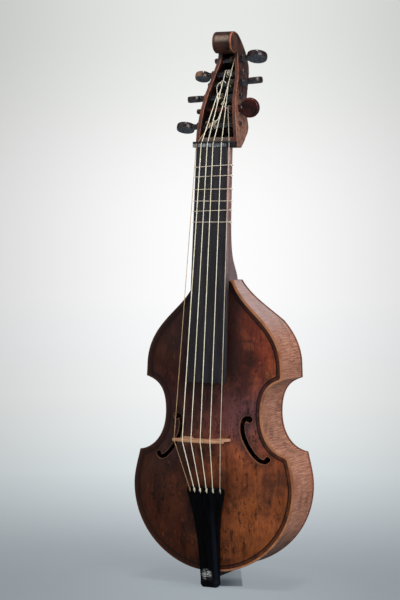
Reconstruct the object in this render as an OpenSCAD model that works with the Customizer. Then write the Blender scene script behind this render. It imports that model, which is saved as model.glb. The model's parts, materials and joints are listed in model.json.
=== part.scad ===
// Small six-string viola da gamba, held upright, front towards -Y.
// The origin is the middle of the tail foot's lower face; +Z runs up the instrument.
// Heights inside the modules are measured from the lower edge of the body.

/* [Body] */
// Length of the body from its lower edge to the neck joint
body_len = 350; // [345:1:355]
// Half width of the lower bout at its widest
lower_half_w = 104.5; // [102:0.5:107]
// Half width of the waist
waist_half_w = 62.5; // [61:0.5:64]
// Half width of the upper bout where the shoulder starts
upper_half_w = 88; // [87:0.5:89]
// Depth of the body from the belly's edge to the outside of the back
body_depth = 67.5; // [66:0.5:69]
// Depth of the body at the neck, below the canted upper back
neck_end_depth = 28; // [27:0.5:30]
// Height up the body where the back starts to cant
fold_z = 300; // [298:1:302]
// Height of the belly's arch above its edge
arch_h = 14; // [12:0.5:15]

/* [Plates and ribs] */
// Thickness of the belly
belly_t = 3; // [2.8:0.1:3.2]
// Thickness of the back
back_t = 3; // [2.8:0.1:3.2]
// Thickness of the ribs
rib_t = 1.8; // [1.6:0.1:2]
// Width of a sound hole's slot at its middle
sound_hole_w = 6; // [5:0.5:7]
// Distance of the purfling from the belly's edge
purfling_in = 6; // [5:0.5:7]

/* [Strings] */
// Height of the nut above the body's lower edge
nut_z = 511; // [510:0.5:512]
// Height of the bridge above the body's lower edge
bridge_z = 160; // [158:1:162]
// Distance between strings at the bridge
bridge_spacing = 12; // [11.5:0.1:12.2]
// Distance of the middle strings in front of the belly's edge at the bridge
bridge_crown = 44; // [43:0.5:45]
// Sideways place of the middle of the bridge
bridge_x = -3; // [-4:0.5:-2]

/* [Neck and fingerboard] */
// Half width of the fingerboard at the nut
board_half_w = 22; // [21.5:0.5:22.5]
// Half width of the fingerboard at its lower end
board_end_half_w = 25; // [24.5:0.5:25.5]
// Radius of the fingerboard's camber
board_radius = 100; // [95:5:110]
// Height of the fingerboard's lower end above the body's lower edge
board_end_z = 228; // [226:1:230]
// Thickness of the neck behind the fingerboard, at the nut
neck_t = 15; // [14:0.5:16]
// Diameter of a tied fret's gut
fret_d = 1; // [0.9:0.05:1.1]

/* [Pegs] */
// Radius of a peg's shaft where it enters the head
peg_r = 4; // [3.9:0.05:4.1]
// Radius lost by the shaft for each millimetre of length
peg_taper = 0.016; // [0.014:0.001:0.018]
// Running clearance round a shaft
peg_play = 0.05; // [0.03:0.01:0.08]
// Thickness of the pegbox's cheeks
cheek_t = 5; // [4.5:0.5:5.5]

/* [Tail] */
// Distance from the body's lower edge down to the tail foot
tail_drop = 19; // [18.5:0.5:20]
// Half width of the tailpiece at its top
tail_half_w = 25; // [24:0.5:26]
// Half width of the tail foot
foot_half_w = 10.5; // [10:0.5:11]

/* [Hidden] */
$fn = 64;
// Clearance of parts that only touch, and how far a cutting shape runs past what it cuts
small = 0.05;
past = 1;
varnish = "#5b2a17";
maple = "#a8694a";
dark_maple = "#4a2418";
spruce = "#d8b98a";
bridge_wood = "#c08f6e";
ebony = "#17161a";
gut = "#d9cba3";

// Curves
function bezier(a, b, c, d, t) =
    pow(1 - t, 3) * a + 3 * pow(1 - t, 2) * t * b + 3 * (1 - t) * t * t * c + pow(t, 3) * d;
function bezier_run(a, b, c, d, n) = [for (i = [1:n]) bezier(a, b, c, d, i / n)];
function slope_at(table, i) =
    let (last = len(table) - 1, lo = max(0, i - 1), hi = min(last, i + 1))
    (table[hi][1] - table[lo][1]) / (table[hi][0] - table[lo][0]);
function span_of(table, x, i = 0) =
    i >= len(table) - 2 || x < table[i + 1][0] ? i : span_of(table, x, i + 1);
// Smooth value of a table of [place, value] rows
function smooth_at(table, x) =
    let (
        i = span_of(table, x),
        step = table[i + 1][0] - table[i][0],
        t = min(1, max(0, (x - table[i][0]) / step)),
        rise = table[i + 1][1] - table[i][1],
        m0 = slope_at(table, i) * step,
        m1 = slope_at(table, i + 1) * step
    )
    table[i][1] + t * (m0 + t * (3 * rise - 2 * m0 - m1 + t * (m0 + m1 - 2 * rise)));
// Rounded path through chosen points
function through(p, n) = concat(
    [p[0]],
    [for (i = [0:len(p) - 2])
        let (
            before = p[max(0, i - 1)],
            after = p[min(len(p) - 1, i + 2)],
            b = p[i] + (p[i + 1] - before) / 6,
            c = p[i + 1] - (after - p[i]) / 6
        )
        each bezier_run(p[i], b, c, p[i + 1], n)]
);
function backwards(p) = [for (i = [len(p) - 1:-1:0]) p[i]];
function mirrored(p) = [for (q = p) [-q[0], q[1]]];
function unit(v) = v / norm(v);
function left_of(v) = [-v[1], v[0]];
// Path moved to its left by d, with mitred corners
function inset(p, d) = [for (i = [0:len(p) - 1])
    let (
        before = i == 0 ? [1, 0] : unit(p[i] - p[i - 1]),
        after = i == len(p) - 1 ? [0, 1] : unit(p[i + 1] - p[i]),
        n1 = left_of(before),
        n2 = left_of(after)
    )
    p[i] + d * (n1 + n2) / (1 + n1 * n2)
];

// Body outline, right half, as [x, z]
bottom_start = [10, 0];
lower_max = [lower_half_w, 101];
lower_corner = [96.8, 142.2];
waist = [waist_half_w, 190.8];
upper_corner = [88.6, 232.1];
shoulder = [upper_half_w, 244];
neck_joint = [25, body_len];
edge = concat(
    [bottom_start],
    bezier_run(bottom_start, [52, 1.5], [lower_half_w, 40], lower_max, 14),
    bezier_run(lower_max, lower_max + [0, 15], lower_corner + [1.5, -8], lower_corner, 5),
    bezier_run(lower_corner, lower_corner + [-21, 3], waist - [0, 27], waist, 9),
    bezier_run(waist, waist + [0, 32], upper_corner - [11.5, 4], upper_corner, 9),
    [shoulder],
    bezier_run(shoulder, shoulder + [0, 56], neck_joint + [9.7, -36.4], neck_joint, 13)
);
lower_end = 19;
waist_end = 37;
neck_end = len(edge) - 1;
corners = [lower_corner, upper_corner];
function both_sides(p) = concat(mirrored(backwards(p)), p);
function part_of(p, i, j) = [for (k = [i:j]) p[k]];
rib_inside = inset(edge, rib_t);
lining_t = 2.2;
lining_h = 6;
lining_inside = inset(edge, rib_t + lining_t);
purfling_w = 1.4;
purfling_depth = 1.2;

// Arch of the belly: half width that it reaches, and its share of the full height, up the body
arch_fullness = 1.4;
arch_reach = [
    [0, 1], [8, 6], [16, 38], [25, 55], [50, 80], [80, 93], [102, 95.5], [130, 84], [160, 61],
    [190, 54.5], [215, 57], [240, 72], [262, 75], [285, 63], [310, 43], [330, 25], [350, 16]
];
arch_rise = [
    [0, 0], [8, 0], [20, 0.26], [60, 0.72], [110, 0.94], [160, 1], [200, 0.97], [250, 0.8], [300, 0.48],
    [350, 0.2]
];
function arch(x, z) =
    let (u = abs(x) / smooth_at(arch_reach, z))
    u >= 1 ? 0 : arch_h * max(0, smooth_at(arch_rise, z)) * pow(1 - u * u, arch_fullness);

// Back, ribs and blocks share these heights
back_inside = body_depth - back_t;
cant = (body_depth - neck_end_depth) / (body_len - fold_z);
cant_t = back_t * sqrt(1 + cant * cant);
function back_y(z) = z < fold_z ? body_depth : body_depth - cant * (z - fold_z);
function back_inner(z) = min(back_inside, back_y(z) - cant_t);
inner_fold_z = fold_z - (cant_t - back_t) / cant;
// Side outlines, as [y, z], of the space between the plates and of the back itself
side_space = [
    [belly_t, -past], [back_inside, -past], [back_inside, inner_fold_z],
    [back_inner(body_len), body_len], [belly_t, body_len]
];
back_side = [
    [back_inside, -past], [body_depth, -past], [body_depth, fold_z], [neck_end_depth, body_len],
    [back_inner(body_len), body_len], [back_inside, inner_fold_z]
];

// Fingerboard and neck
board_top_y = -8.5;
board_slope = 0.0585;
board_thick = 8.2;
nut_h = 7;
board_top_z = nut_z - nut_h / 2;
function board_y(z) = board_top_y - board_slope * (nut_z - z);
function board_under(z) = board_y(z) + board_thick;
function board_w(z) =
    board_half_w + (board_end_half_w - board_half_w) * (nut_z - z) / (nut_z - board_end_z);
neck_depth = [
    [350, 37.6], [356, 36.6], [364, 32], [376, 25.5], [392, 20.5], [415, neck_t + 2.4],
    [450, neck_t + 1.4], [480, neck_t + 0.6], [512, neck_t]
];
heel_square = [[350, 5], [360, 4], [376, 2.8], [400, 2.2], [430, 2], [512, 2]];
neck_stations = [350, 354, 358, 364, 370, 378, 388, 400, 410, 420, 450, 480, board_top_z];
neck_sides = 16;
function power(v, p) = sign(v) * pow(abs(v), p);
// Cross-section of the neck behind the fingerboard, grown by g
function neck_section(z, g = 0) =
    let (e = 2 / smooth_at(heel_square, z), w = board_w(z) + g, d = smooth_at(neck_depth, z) + g)
    [for (i = [0:neck_sides]) let (a = 180 * i / neck_sides)
        [w * power(cos(a), e), board_under(z) + d * pow(sin(a), e)]];

// Frets, as the height of each above the body's lower edge, and how far each can be pushed either way
fret_z = [485, 473, 457.5, 443.5, 432, 418.5];
fret_travel = 2.5;
fret_gap = 0.22;
fret_top_points = 8;
fret_ring_sides = 6;

// Head, as [y, z] round its side and [z, half width] up its front
head_front = [
    [3.4, board_top_z], [3.4, 525], [4.3, 535], [5.3, 545], [7.5, 555], [11, 565], [16, 575],
    [22, 585], [27, 594], [31.5, 604], [34.5, 613], [36, 624], [34, 633]
];
head_back = [
    [28, 648], [38, 646], [51.2, 636.5], [61.5, 625.8], [67, 611.7], [61.5, 597.2], [51, 578],
    [44, 560], [41.2, 546], [41.6, 532], [30, 519.5], [16.5, board_top_z]
];
roll_y = 28;
roll_z = 635;
roll_r = 13;
head_plan = [
    [505, 27], [515, 27.3], [525, 26.6], [545, 24.2], [565, 21.5], [585, 19.2], [600, 16.8],
    [612, 14.2], [622, 12.8], [632, 12.5], [650, 12.5]
];
plan_stations = [
    board_top_z, 515, 525, 535, 545, 555, 565, 575, 585, 592, 600, 606, 612, 617, 622, 650
];
cavity_side = [
    [-9, 518], [21, 521.5], [32.5, 534], [33, 547], [36, 561], [43, 578], [53, 597], [58, 609],
    [56, 618], [48, 622.5], [-9, 622.5]
];
cavity_stations = [516, 525, 535, 545, 555, 565, 575, 585, 592, 600, 606, 612, 617, 623];
head_front_y = -12;
head_back_y = 80;
head_max_w = 30;
function head_w(z) = smooth_at(head_plan, z);

// Pegs 1 to 3 turn from the left side and 4 to 6 from the right, by string.
// Each row is [side, shaft y, shaft z, radius of the head, head beyond the cheek, turn of the head,
// tip beyond the far cheek, climb of the shaft towards the viewer's right]
pegs = [
    [-1, 15.5, 535, 11, 20.5, 70, 1.5, 3],
    [-1, 26.5, 569.5, 9, 18, 95, 3, 3],
    [-1, 39.5, 598.5, 9.5, 17.5, 68, 3.5, 4.5],
    [1, 46, 616, 12.5, 20.5, 70, 7.5, 4.5],
    [1, 33, 586, 9, 18.5, 95, 5, 4.5],
    [1, 19.5, 553.5, 12, 13.2, 8, 9.5, 3]
];
peg_head_t = 8;
collar_gap = 2.2;
collar_r = 5.4;
collar_t = 2.6;
function peg_side(i) = pegs[i][0];
function peg_y(i) = pegs[i][1];
function peg_z(i) = pegs[i][2];
function climb(i) = pegs[i][7];
function shaft_start(i) = head_w(peg_z(i)) + collar_gap;
function shaft_end(i) = -head_w(peg_z(i)) - pegs[i][6];
// Shaft radius at a place along x
function shaft_r(i, x) = peg_r - peg_taper * (shaft_start(i) - peg_side(i) * x);

// Strings from the viewer's left
string_d = [0.8, 1.1, 1, 1, 0.9, 0.8];
nut_x = [-21.3, -14.4, -6, 1.5, 12.1, 21.4];
tail_x = [-20, -13.4, -5.4, 3, 11, 19.5];
wrap_x = [-11, -8, -3, 7, 4.5, 9.5];
// Side towards which each string winds on
lane_side = [1, 1, 1, -1, 1, 1];
tail_hole_z = 97;
turns = 3;
loop_rings = 24;
tube_sides = 6;
turn_gap = 0.7;
wrap_play = 0.1;
wrap_angle = 285;
wrap_advance = 0.5;
// Pitches from the string's own wrap to the first turn, and the angles between them and to the ends
winding_lane = 1.55;
winding_lag = 20;
end_lead = 8;
end_sink = 9;
// Depth of a turned-in end, in string diameters, below the turns
end_half_in = 0.6;
end_full_in = 1.6;
knot_depth = 4;
knot_drop = 3;
string_proud = 0.2;
nut_crown = 1.4;
function bridge_string_x(i) = bridge_x + (i - 2.5) * bridge_spacing;
function bridge_top_y(x) = -bridge_crown + pow(x - bridge_x, 2) / (2 * board_radius);
function nut_top_y(x) = board_top_y - nut_crown + pow(x, 2) / (2 * board_radius);
function pitch(i) = string_d[i] + turn_gap;
function lane(i, pitches) = wrap_x[i] + lane_side[i] * pitches * pitch(i);

// Tailpiece front, as a height in front of the belly's edge, up the body
tail_y = [[-19, -7], [0, -8], [35, -13], [65, -18.4], [104, -25]];
tail_w = [
    [-19, foot_half_w], [5, 12], [35, 13], [65, 17], [85, 21.6], [97, tail_half_w],
    [102, tail_half_w - 0.4], [104, tail_half_w - 2]
];
tail_t = 6;
tail_camber = 70;
tail_stations = [-14, -6, 5, 20, 35, 50, 65, 75, 85, 95, 101, 104];
tail_across = 6;
tongue_w = 9;
tongue_low = 12;
tongue_high = 6;
foot_top = 12.4;
function tail_front(x, z) = smooth_at(tail_y, z) + x * x / (2 * tail_camber);

// Tubes swept along a path: each ring lies square to the path
function cross_dir(t, up) = unit(cross(t, up));
function path_dir(p, i) =
    unit(unit(p[min(i + 1, len(p) - 1)] - p[max(0, min(i, len(p) - 2))])
        + unit(p[max(i, 1)] - p[max(0, i - 1)]));
function ring_at(p, i, r, up) =
    let (t = path_dir(p, i), a = cross_dir(t, up), b = cross(a, t))
    [for (k = [0:tube_sides - 1])
        let (w = 360 * k / tube_sides) p[i] + r * (cos(w) * a + sin(w) * b)];
module tube(p, r, up) {
    n = len(p);
    s = tube_sides;
    points = [for (i = [0:n - 1]) each ring_at(p, i, r, up)];
    sides = [for (i = [0:n - 2], k = [0:s - 1])
        let (a = i * s + k, b = i * s + (k + 1) % s)
        each [[a, b, b + s], [a, b + s, a + s]]];
    far = (n - 1) * s;
    caps = [for (k = [1:s - 2]) each [[0, k + 1, k], [far, far + k, far + k + 1]]];
    polyhedron(points = points, faces = concat(sides, caps));
}

// Least gap between two loops of a path, outside to outside
function least_gap(p, d) = min([for (i = [0:len(p) - 1], j = [i + loop_rings / 2:len(p) - 1])
    norm(p[i] - p[j])]) - d;

// Where a string leaves the nut and meets its shaft's front, seen from the side as [y, z]
function nut_point(i) = [nut_top_y(nut_x[i]), nut_z];
function wrap_r(i) = shaft_r(i, wrap_x[i]) + wrap_play + string_d[i] / 2;
function touch_angle(i) =
    let (d = nut_point(i) - [peg_y(i), peg_z(i)])
    atan2(d[1], d[0]) - acos(wrap_r(i) / norm(d));
function round_shaft(i, r, a, x) =
    let (up = r * sin(a), c = cos(climb(i)), s = sin(climb(i)))
    [x * c - up * s, peg_y(i) + r * cos(a), peg_z(i) + x * s + up * c];
function wrap_path(i) = [for (k = [0:loop_rings * wrap_angle / 360])
    let (a = touch_angle(i) - k * 360 / loop_rings)
    round_shaft(i, wrap_r(i), a, lane(i, wrap_advance * k / loop_rings))];
function string_path(i) = concat(
    [
        [tail_x[i], tail_front(tail_x[i], tail_hole_z) + knot_depth, tail_hole_z - knot_drop],
        [tail_x[i], tail_front(tail_x[i], tail_hole_z) + string_proud, tail_hole_z],
        [bridge_string_x(i), bridge_top_y(bridge_string_x(i)), bridge_z],
        [nut_x[i], nut_top_y(nut_x[i]), nut_z]
    ],
    wrap_path(i)
);
function winding_path(i) =
    let (
        d = string_d[i],
        x0 = lane(i, winding_lane),
        x1 = lane(i, winding_lane + turns),
        r = shaft_r(i, x0) + d / 2 + small,
        start = touch_angle(i) - wrap_angle - winding_lag,
        end = start - turns * 360
    )
    concat(
        [
            round_shaft(i, r - end_full_in * d, start + end_sink, x0),
            round_shaft(i, r - end_half_in * d, start + end_lead, x0)
        ],
        [for (k = [0:turns * loop_rings])
            round_shaft(i, r, start - k * 360 / loop_rings, lane(i, winding_lane + k / loop_rings))],
        [
            round_shaft(i, r - end_half_in * d, end - end_lead, x1),
            round_shaft(i, r - end_full_in * d, end - end_sink, x1)
        ]
    );
for (i = [0:5])
    echo(str("winding_", i + 1, " least gap ", least_gap(winding_path(i), string_d[i])));

// Places pieces from the body's lower edge
module on_body() translate([0, 0, tail_drop]) children();
// A flat outline of [x, z] points made solid from y0 back to y1
module slab(y0, y1)
    translate([0, y1, 0]) rotate([90, 0, 0]) linear_extrude(height = y1 - y0) children();
// A side outline of [y, z] points made solid from x0 to x1
module side_slab(x0, x1)
    translate([x0, 0, 0]) rotate([90, 0, 90]) linear_extrude(height = x1 - x0) children();
module across_body() side_slab(-lower_half_w - past, lower_half_w + past) children();
module left_hand() mirror([1, 0, 0]) children();

// Belly and its inlay
belly_columns = 7;
// Middle line of the right sound hole, and its two eyes as [x, z, radius]
sound_hole_line = [
    [47.8, 186.5], [42.6, 185], [40.2, 179], [40.2, 172], [42.2, 163], [47.8, 152], [54.8, 142.6],
    [62.4, 136], [69, 134.6]
];
hole_eyes = [[47.8, 184.6, 4], [71, 137.6, 3.8]];
hole_narrowing = 0.5;
hole_front_y = -20;
hole_back_y = 8;
function belly_row(i) = [for (j = [-belly_columns:belly_columns])
    [edge[i][0] * sin(90 * j / belly_columns), edge[i][1]]];
module arched_plate() {
    rows = len(edge);
    cols = 2 * belly_columns + 1;
    flat = [for (i = [0:rows - 1]) each belly_row(i)];
    outer = [for (q = flat) [q[0], -arch(q[0], q[1]), q[1]]];
    inner = [for (q = outer) q + [0, belly_t, 0]];
    n = rows * cols;
    front = [for (i = [0:rows - 2], j = [0:cols - 2])
        let (a = i * cols + j) each [[a, a + cols, a + cols + 1], [a, a + cols + 1, a + 1]]];
    rear = [for (f = front) [f[0] + n, f[2] + n, f[1] + n]];
    sides = [for (i = [0:rows - 2], s = [0, 1])
        let (a = i * cols + s * (cols - 1), b = a + cols, q = s == 0 ? [a, b] : [b, a])
        each [[q[0], q[0] + n, q[1] + n], [q[0], q[1] + n, q[1]]]];
    ends = [for (j = [0:cols - 2], s = [0, 1])
        let (a = s * (rows - 1) * cols + j, q = s == 0 ? [a + 1, a] : [a, a + 1])
        each [[q[0], q[0] + n, q[1] + n], [q[0], q[1] + n, q[1]]]];
    polyhedron(points = concat(outer, inner), faces = concat(front, rear, sides, ends));
}
function slot_edge(p, s) =
    let (last = len(p) - 1)
    [for (i = [0:last])
        let (
            t = unit(p[min(i + 1, last)] - p[max(0, i - 1)]),
            w = sound_hole_w / 2 - hole_narrowing * pow(2 * i / last - 1, 2)
        )
        p[i] + s * w * left_of(t)];
module sound_hole() {
    line = through(sound_hole_line, 2);
    slab(hole_front_y, hole_back_y)
        polygon(concat(slot_edge(line, 1), backwards(slot_edge(line, -1))));
    for (e = hole_eyes) translate([e[0], hole_back_y, e[1]]) rotate([90, 0, 0])
        cylinder(h = hole_back_y - hole_front_y, r = e[2], $fn = 24);
}
// Edge moved inwards by d, leaving out the points that a corner's mitre passes
mitre_reach = 1.3;
neck_margin = 3;
function deep_inset(d) =
    let (p = inset(edge, d))
    [for (i = [0:neck_end]) let (gap = min([for (c = corners) norm(edge[i] - c)]))
        if ((gap == 0 || gap > mitre_reach * d) && p[i][1] < body_len - neck_margin) p[i]];
module purfling_ring(y0, y1) difference() {
    slab(y0, y1) polygon(both_sides(deep_inset(purfling_in)));
    slab(y0 - past, y1 + past) polygon(both_sides(deep_inset(purfling_in + purfling_w)));
}
module belly() on_body() color(varnish) difference() {
    arched_plate();
    sound_hole();
    left_hand() sound_hole();
    purfling_ring(-past, purfling_depth);
}
module purfling() on_body() color(ebony) purfling_ring(0, purfling_depth);

// Back and ribs
module back() on_body() color(maple) intersection() {
    slab(0, body_depth + past) polygon(both_sides(edge));
    across_body() polygon(back_side);
}
module between_plates() intersection() {
    children();
    across_body() polygon(side_space);
}
module rib(i, j) color(maple) between_plates() slab(0, body_depth)
    polygon(concat(part_of(edge, i, j), backwards(part_of(rib_inside, i, j))));
module lower_rib() color(maple) between_plates() slab(0, body_depth)
    polygon(concat([[0, 0]], part_of(edge, 0, lower_end),
        backwards(part_of(rib_inside, 0, lower_end)), [[0, rib_t]]));
module rib_lower_right() on_body() lower_rib();
module rib_lower_left() on_body() left_hand() lower_rib();
module rib_middle_right() on_body() rib(lower_end, waist_end);
module rib_middle_left() on_body() left_hand() rib(lower_end, waist_end);
module rib_upper_right() on_body() rib(waist_end, neck_end);
module rib_upper_left() on_body() left_hand() rib(waist_end, neck_end);

// Blocks, each cut from the space inside the ribs
top_block_z = 326;
top_block_w = 60;
tail_block_z = 16;
tail_block_w = 28;
lower_block = [[103, 112], [72, 150], [72, 175], [130, 175], [130, 112]];
upper_block = [[88, 252], [66, 222], [66, 205], [110, 205], [110, 252]];
module inside_ribs() slab(0, body_depth) polygon(both_sides(rib_inside));
module room(half_w, z0, z1) slab(0, body_depth)
    polygon([[-half_w, z0], [half_w, z0], [half_w, z1], [-half_w, z1]]);
module corner_room(points) slab(0, body_depth) polygon(points);
module block() color(spruce) between_plates() intersection() {
    inside_ribs();
    children();
}
module top_block() on_body() block() room(top_block_w, top_block_z, body_len);
module tail_block() on_body() block() room(tail_block_w, -past, tail_block_z);
module corner_block_lower_right() on_body() block() corner_room(lower_block);
module corner_block_lower_left() on_body() left_hand() block() corner_room(lower_block);
module corner_block_upper_right() on_body() block() corner_room(upper_block);
module corner_block_upper_left() on_body() left_hand() block() corner_room(upper_block);

// Linings between the blocks
inner_ease = 4;
module lining_ring() difference() {
    inside_ribs();
    slab(-past, body_depth + past) polygon(both_sides(lining_inside));
    room(top_block_w, top_block_z, body_len);
    room(tail_block_w, -past, tail_block_z);
    for (points = [lower_block, upper_block]) {
        corner_room(points);
        left_hand() corner_room(points);
    }
}
module belly_linings() on_body() color(spruce) intersection() {
    lining_ring();
    across_body() polygon([
        [belly_t, 0], [belly_t + lining_h, 0], [belly_t + lining_h, body_len], [belly_t, body_len]
    ]);
}
module back_linings() on_body() color(spruce) intersection() {
    lining_ring();
    across_body() polygon([
        [back_inside - lining_h, 0], [back_inside, 0], [back_inside, inner_fold_z],
        [back_inner(body_len), body_len], [back_inner(body_len) - lining_h, body_len],
        [back_inside - lining_h, inner_fold_z - inner_ease]
    ]);
}

// Bass bar, sound post and the back's two inner boards
bar_x = -25;
bar_w = 5;
bar_low = 60;
bar_high = 290;
bar_steps = 12;
bar_end_h = 3;
bar_rise = 5;
function bar_top(z) = belly_t - arch(bar_x, z) + small;
function bar_h(z) = bar_end_h + bar_rise * sin(180 * (z - bar_low) / (bar_high - bar_low));
bar_places = [for (k = [0:bar_steps]) bar_low + (bar_high - bar_low) * k / bar_steps];
module bass_bar() on_body() color(spruce) side_slab(bar_x, bar_x + bar_w) polygon(concat(
    [for (z = bar_places) [bar_top(z), z]],
    [for (z = backwards(bar_places)) [bar_top(z) + bar_h(z), z]]
));
post_x = 21;
post_z = 152;
post_r = 3;
post_plate_t = 1.6;
post_plate_w = 50;
post_plate_h = 36;
module sound_post() on_body() color(spruce) {
    top = belly_t - arch(post_x + post_r, post_z) + small;
    translate([post_x, top, post_z]) rotate([-90, 0, 0])
        cylinder(h = back_inside - post_plate_t - top, r = post_r);
}
module sound_post_plate() on_body() color(spruce)
    translate([-post_plate_w, back_inside - post_plate_t, post_z - post_plate_h / 2])
        cube([2 * post_plate_w, post_plate_t, post_plate_h]);
brace_low = 286;
brace_high = 311;
brace_t = 6;
brace_half_w = 43;
module fold_brace() on_body() color(spruce) side_slab(-brace_half_w, brace_half_w) polygon([
    [back_inside, brace_low], [back_inside, inner_fold_z], [back_inner(brace_high), brace_high],
    [back_inner(brace_high) - brace_t, brace_high],
    [back_inside - brace_t, inner_fold_z - inner_ease], [back_inside - brace_t, brace_low]
]);

// Solid through rings of points, each ring anticlockwise seen from above
module loft(rings) {
    s = len(rings[0]);
    n = len(rings);
    sides = [for (i = [0:n - 2], k = [0:s - 1])
        let (a = i * s + k, b = i * s + (k + 1) % s)
        each [[a, b + s, b], [a, a + s, b + s]]];
    top = (n - 1) * s;
    caps = [for (k = [1:s - 2]) each [[0, k, k + 1], [top, top + k + 1, top + k]]];
    polyhedron(points = [for (r = rings) each r], faces = concat(sides, caps));
}

// Neck, fingerboard, nut
module neck() on_body() color(maple)
    loft([for (z = neck_stations) [for (q = neck_section(z)) [q[0], q[1], z]]]);
board_tilt = atan(board_slope);
board_room_y = [-60, 20];
camber_low = -320;
camber_h = 480;
module fingerboard() on_body() color(ebony) intersection() {
    slab(board_room_y[0], board_room_y[1]) polygon([
        [-board_w(board_end_z), board_end_z], [board_w(board_end_z), board_end_z],
        [board_w(board_top_z), board_top_z], [-board_w(board_top_z), board_top_z]
    ]);
    across_body() polygon([
        [board_room_y[0], board_end_z], [board_under(board_end_z), board_end_z],
        [board_under(board_top_z), board_top_z], [board_room_y[0], board_top_z]
    ]);
    translate([0, board_y(nut_z), nut_z]) rotate([-board_tilt, 0, 0])
        translate([0, board_radius, camber_low]) cylinder(h = camber_h, r = board_radius, $fn = 200);
}
nut_half_w = 28.5;
nut_back = 3.3;
nut_steps = 12;
rest_in = 0.3;
module nut() on_body() color(ebony) translate([0, 0, board_top_z])
    linear_extrude(height = nut_h) polygon(concat(
        [[nut_half_w, nut_back], [-nut_half_w, nut_back]],
        [for (k = [0:nut_steps])
            let (x = nut_half_w * (2 * k / nut_steps - 1)) [x, nut_top_y(x) + rest_in]]
    ));

// Frets, tied round the fingerboard and neck with room for the neck's growth along their travel
function camber_y(x, z) = board_y(z) + x * x / (2 * board_radius);
function fret_path(z) =
    let (
        g = fret_gap + fret_d / 2,
        w = board_w(z),
        growth = smooth_at(neck_depth, z - fret_travel) - smooth_at(neck_depth, z),
        under = neck_section(z, g + growth)
    )
    concat(
        [for (k = [0:fret_top_points])
            let (x = w * (2 * k / fret_top_points - 1)) [x, camber_y(x, z) - g, z]],
        [[w + g, camber_y(w, z), z]],
        [for (q = under) [q[0], q[1], z]],
        [[-w - g, camber_y(w, z), z]]
    );
function loop_ring(p, i, r) =
    let (
        n = len(p),
        t = unit(unit(p[(i + 1) % n] - p[i]) + unit(p[i] - p[(i + n - 1) % n])),
        a = unit(cross(t, [0, 0, 1]))
    )
    [for (k = [0:fret_ring_sides - 1])
        let (w = 360 * k / fret_ring_sides) p[i] + r * (cos(w) * a + [0, 0, sin(w)])];
module closed_loop(p, r) {
    n = len(p);
    s = fret_ring_sides;
    points = [for (i = [0:n - 1]) each loop_ring(p, i, r)];
    faces = [for (i = [0:n - 1], k = [0:s - 1])
        let (m = (k + 1) % s, a = i * s, b = (i + 1) % n * s)
        each [[a + k, b + m, a + m], [a + k, b + k, b + m]]];
    polyhedron(points = points, faces = faces);
}
module fret(i) on_body() color(gut) closed_loop(fret_path(fret_z[i]), fret_d / 2);
module fret_1() fret(0);
module fret_2() fret(1);
module fret_3() fret(2);
module fret_4() fret(3);
module fret_5() fret(4);
module fret_6() fret(5);

// Head: pegbox and plain rolled scroll
function plan_at(stations, less) = concat(
    [for (z = stations) [head_w(z) - less, z]],
    [for (z = backwards(stations)) [less - head_w(z), z]]
);
bore_past = 2;
// Places what is drawn about the x axis on a peg's shaft, with the peg's head at its own side
module on_shaft(i) translate([0, peg_y(i), peg_z(i)]) rotate([0, -climb(i), 0])
    mirror([peg_side(i) < 0 ? 1 : 0, 0, 0]) children();
module peg_bore(i) {
    a = shaft_end(i) - bore_past;
    b = shaft_start(i) + bore_past;
    r_at_b = peg_r + peg_taper * bore_past + peg_play;
    r_at_a = r_at_b - peg_taper * (b - a);
    on_shaft(i) translate([a, 0, 0]) rotate([0, 90, 0])
        cylinder(h = b - a, r1 = r_at_a, r2 = r_at_b);
}
module head() on_body() color(dark_maple) difference() {
    union() {
        intersection() {
            side_slab(-head_max_w, head_max_w)
                polygon(concat(through(head_front, 3), through(head_back, 3)));
            slab(head_front_y, head_back_y) polygon(plan_at(plan_stations, 0));
        }
        translate([-head_w(roll_z), roll_y, roll_z]) rotate([0, 90, 0])
            cylinder(h = 2 * head_w(roll_z), r = roll_r);
    }
    intersection() {
        side_slab(-head_max_w, head_max_w) polygon(cavity_side);
        slab(head_front_y, head_back_y) polygon(plan_at(cavity_stations, cheek_t));
    }
    for (i = [0:5]) peg_bore(i);
}

// Pegs: shaft, collar and stem turned as one, then the flat head, dished a little on both faces
peg_round = 0.6;
stem_r = 3.4;
stem_share = 0.6;
rim_round = 2.4;
rim_corner = 0.9;
head_dish = 0.6;
module peg_turning(i) {
    start = shaft_start(i);
    end = shaft_end(i);
    collar_end = start + collar_t;
    stem_end = head_w(peg_z(i)) + pegs[i][4] - stem_share * pegs[i][3];
    tip_r = peg_r - peg_taper * (start - end);
    rotate([0, 90, 0]) rotate_extrude() polygon([
        [0, end], [tip_r - peg_round, end], [tip_r, end + peg_round], [peg_r, start],
        [collar_r - peg_round, start], [collar_r, start + peg_round], [collar_r, collar_end - peg_round],
        [collar_r - 2 * peg_round, collar_end], [stem_r, collar_end + peg_round], [stem_r, stem_end],
        [0, stem_end]
    ]);
}
module peg_head(i) {
    r = pegs[i][3];
    t = peg_head_t / 2;
    face = [
        [0, t - head_dish], [r / 2, t - head_dish / 2], [r - rim_round, t],
        [r - rim_corner, t - rim_corner], [r, t - rim_round]
    ];
    translate([head_w(peg_z(i)) + pegs[i][4], 0, 0]) rotate([90 + pegs[i][5], 0, 0]) rotate_extrude()
        polygon(concat([for (q = face) [q[0], -q[1]]], backwards(face)));
}
module peg(i) on_body() color(dark_maple) on_shaft(i) {
    peg_turning(i);
    peg_head(i);
}
module peg_1() peg(0);
module peg_2() peg(1);
module peg_3() peg(2);
module peg_4() peg(3);
module peg_5() peg(4);
module peg_6() peg(5);

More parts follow.
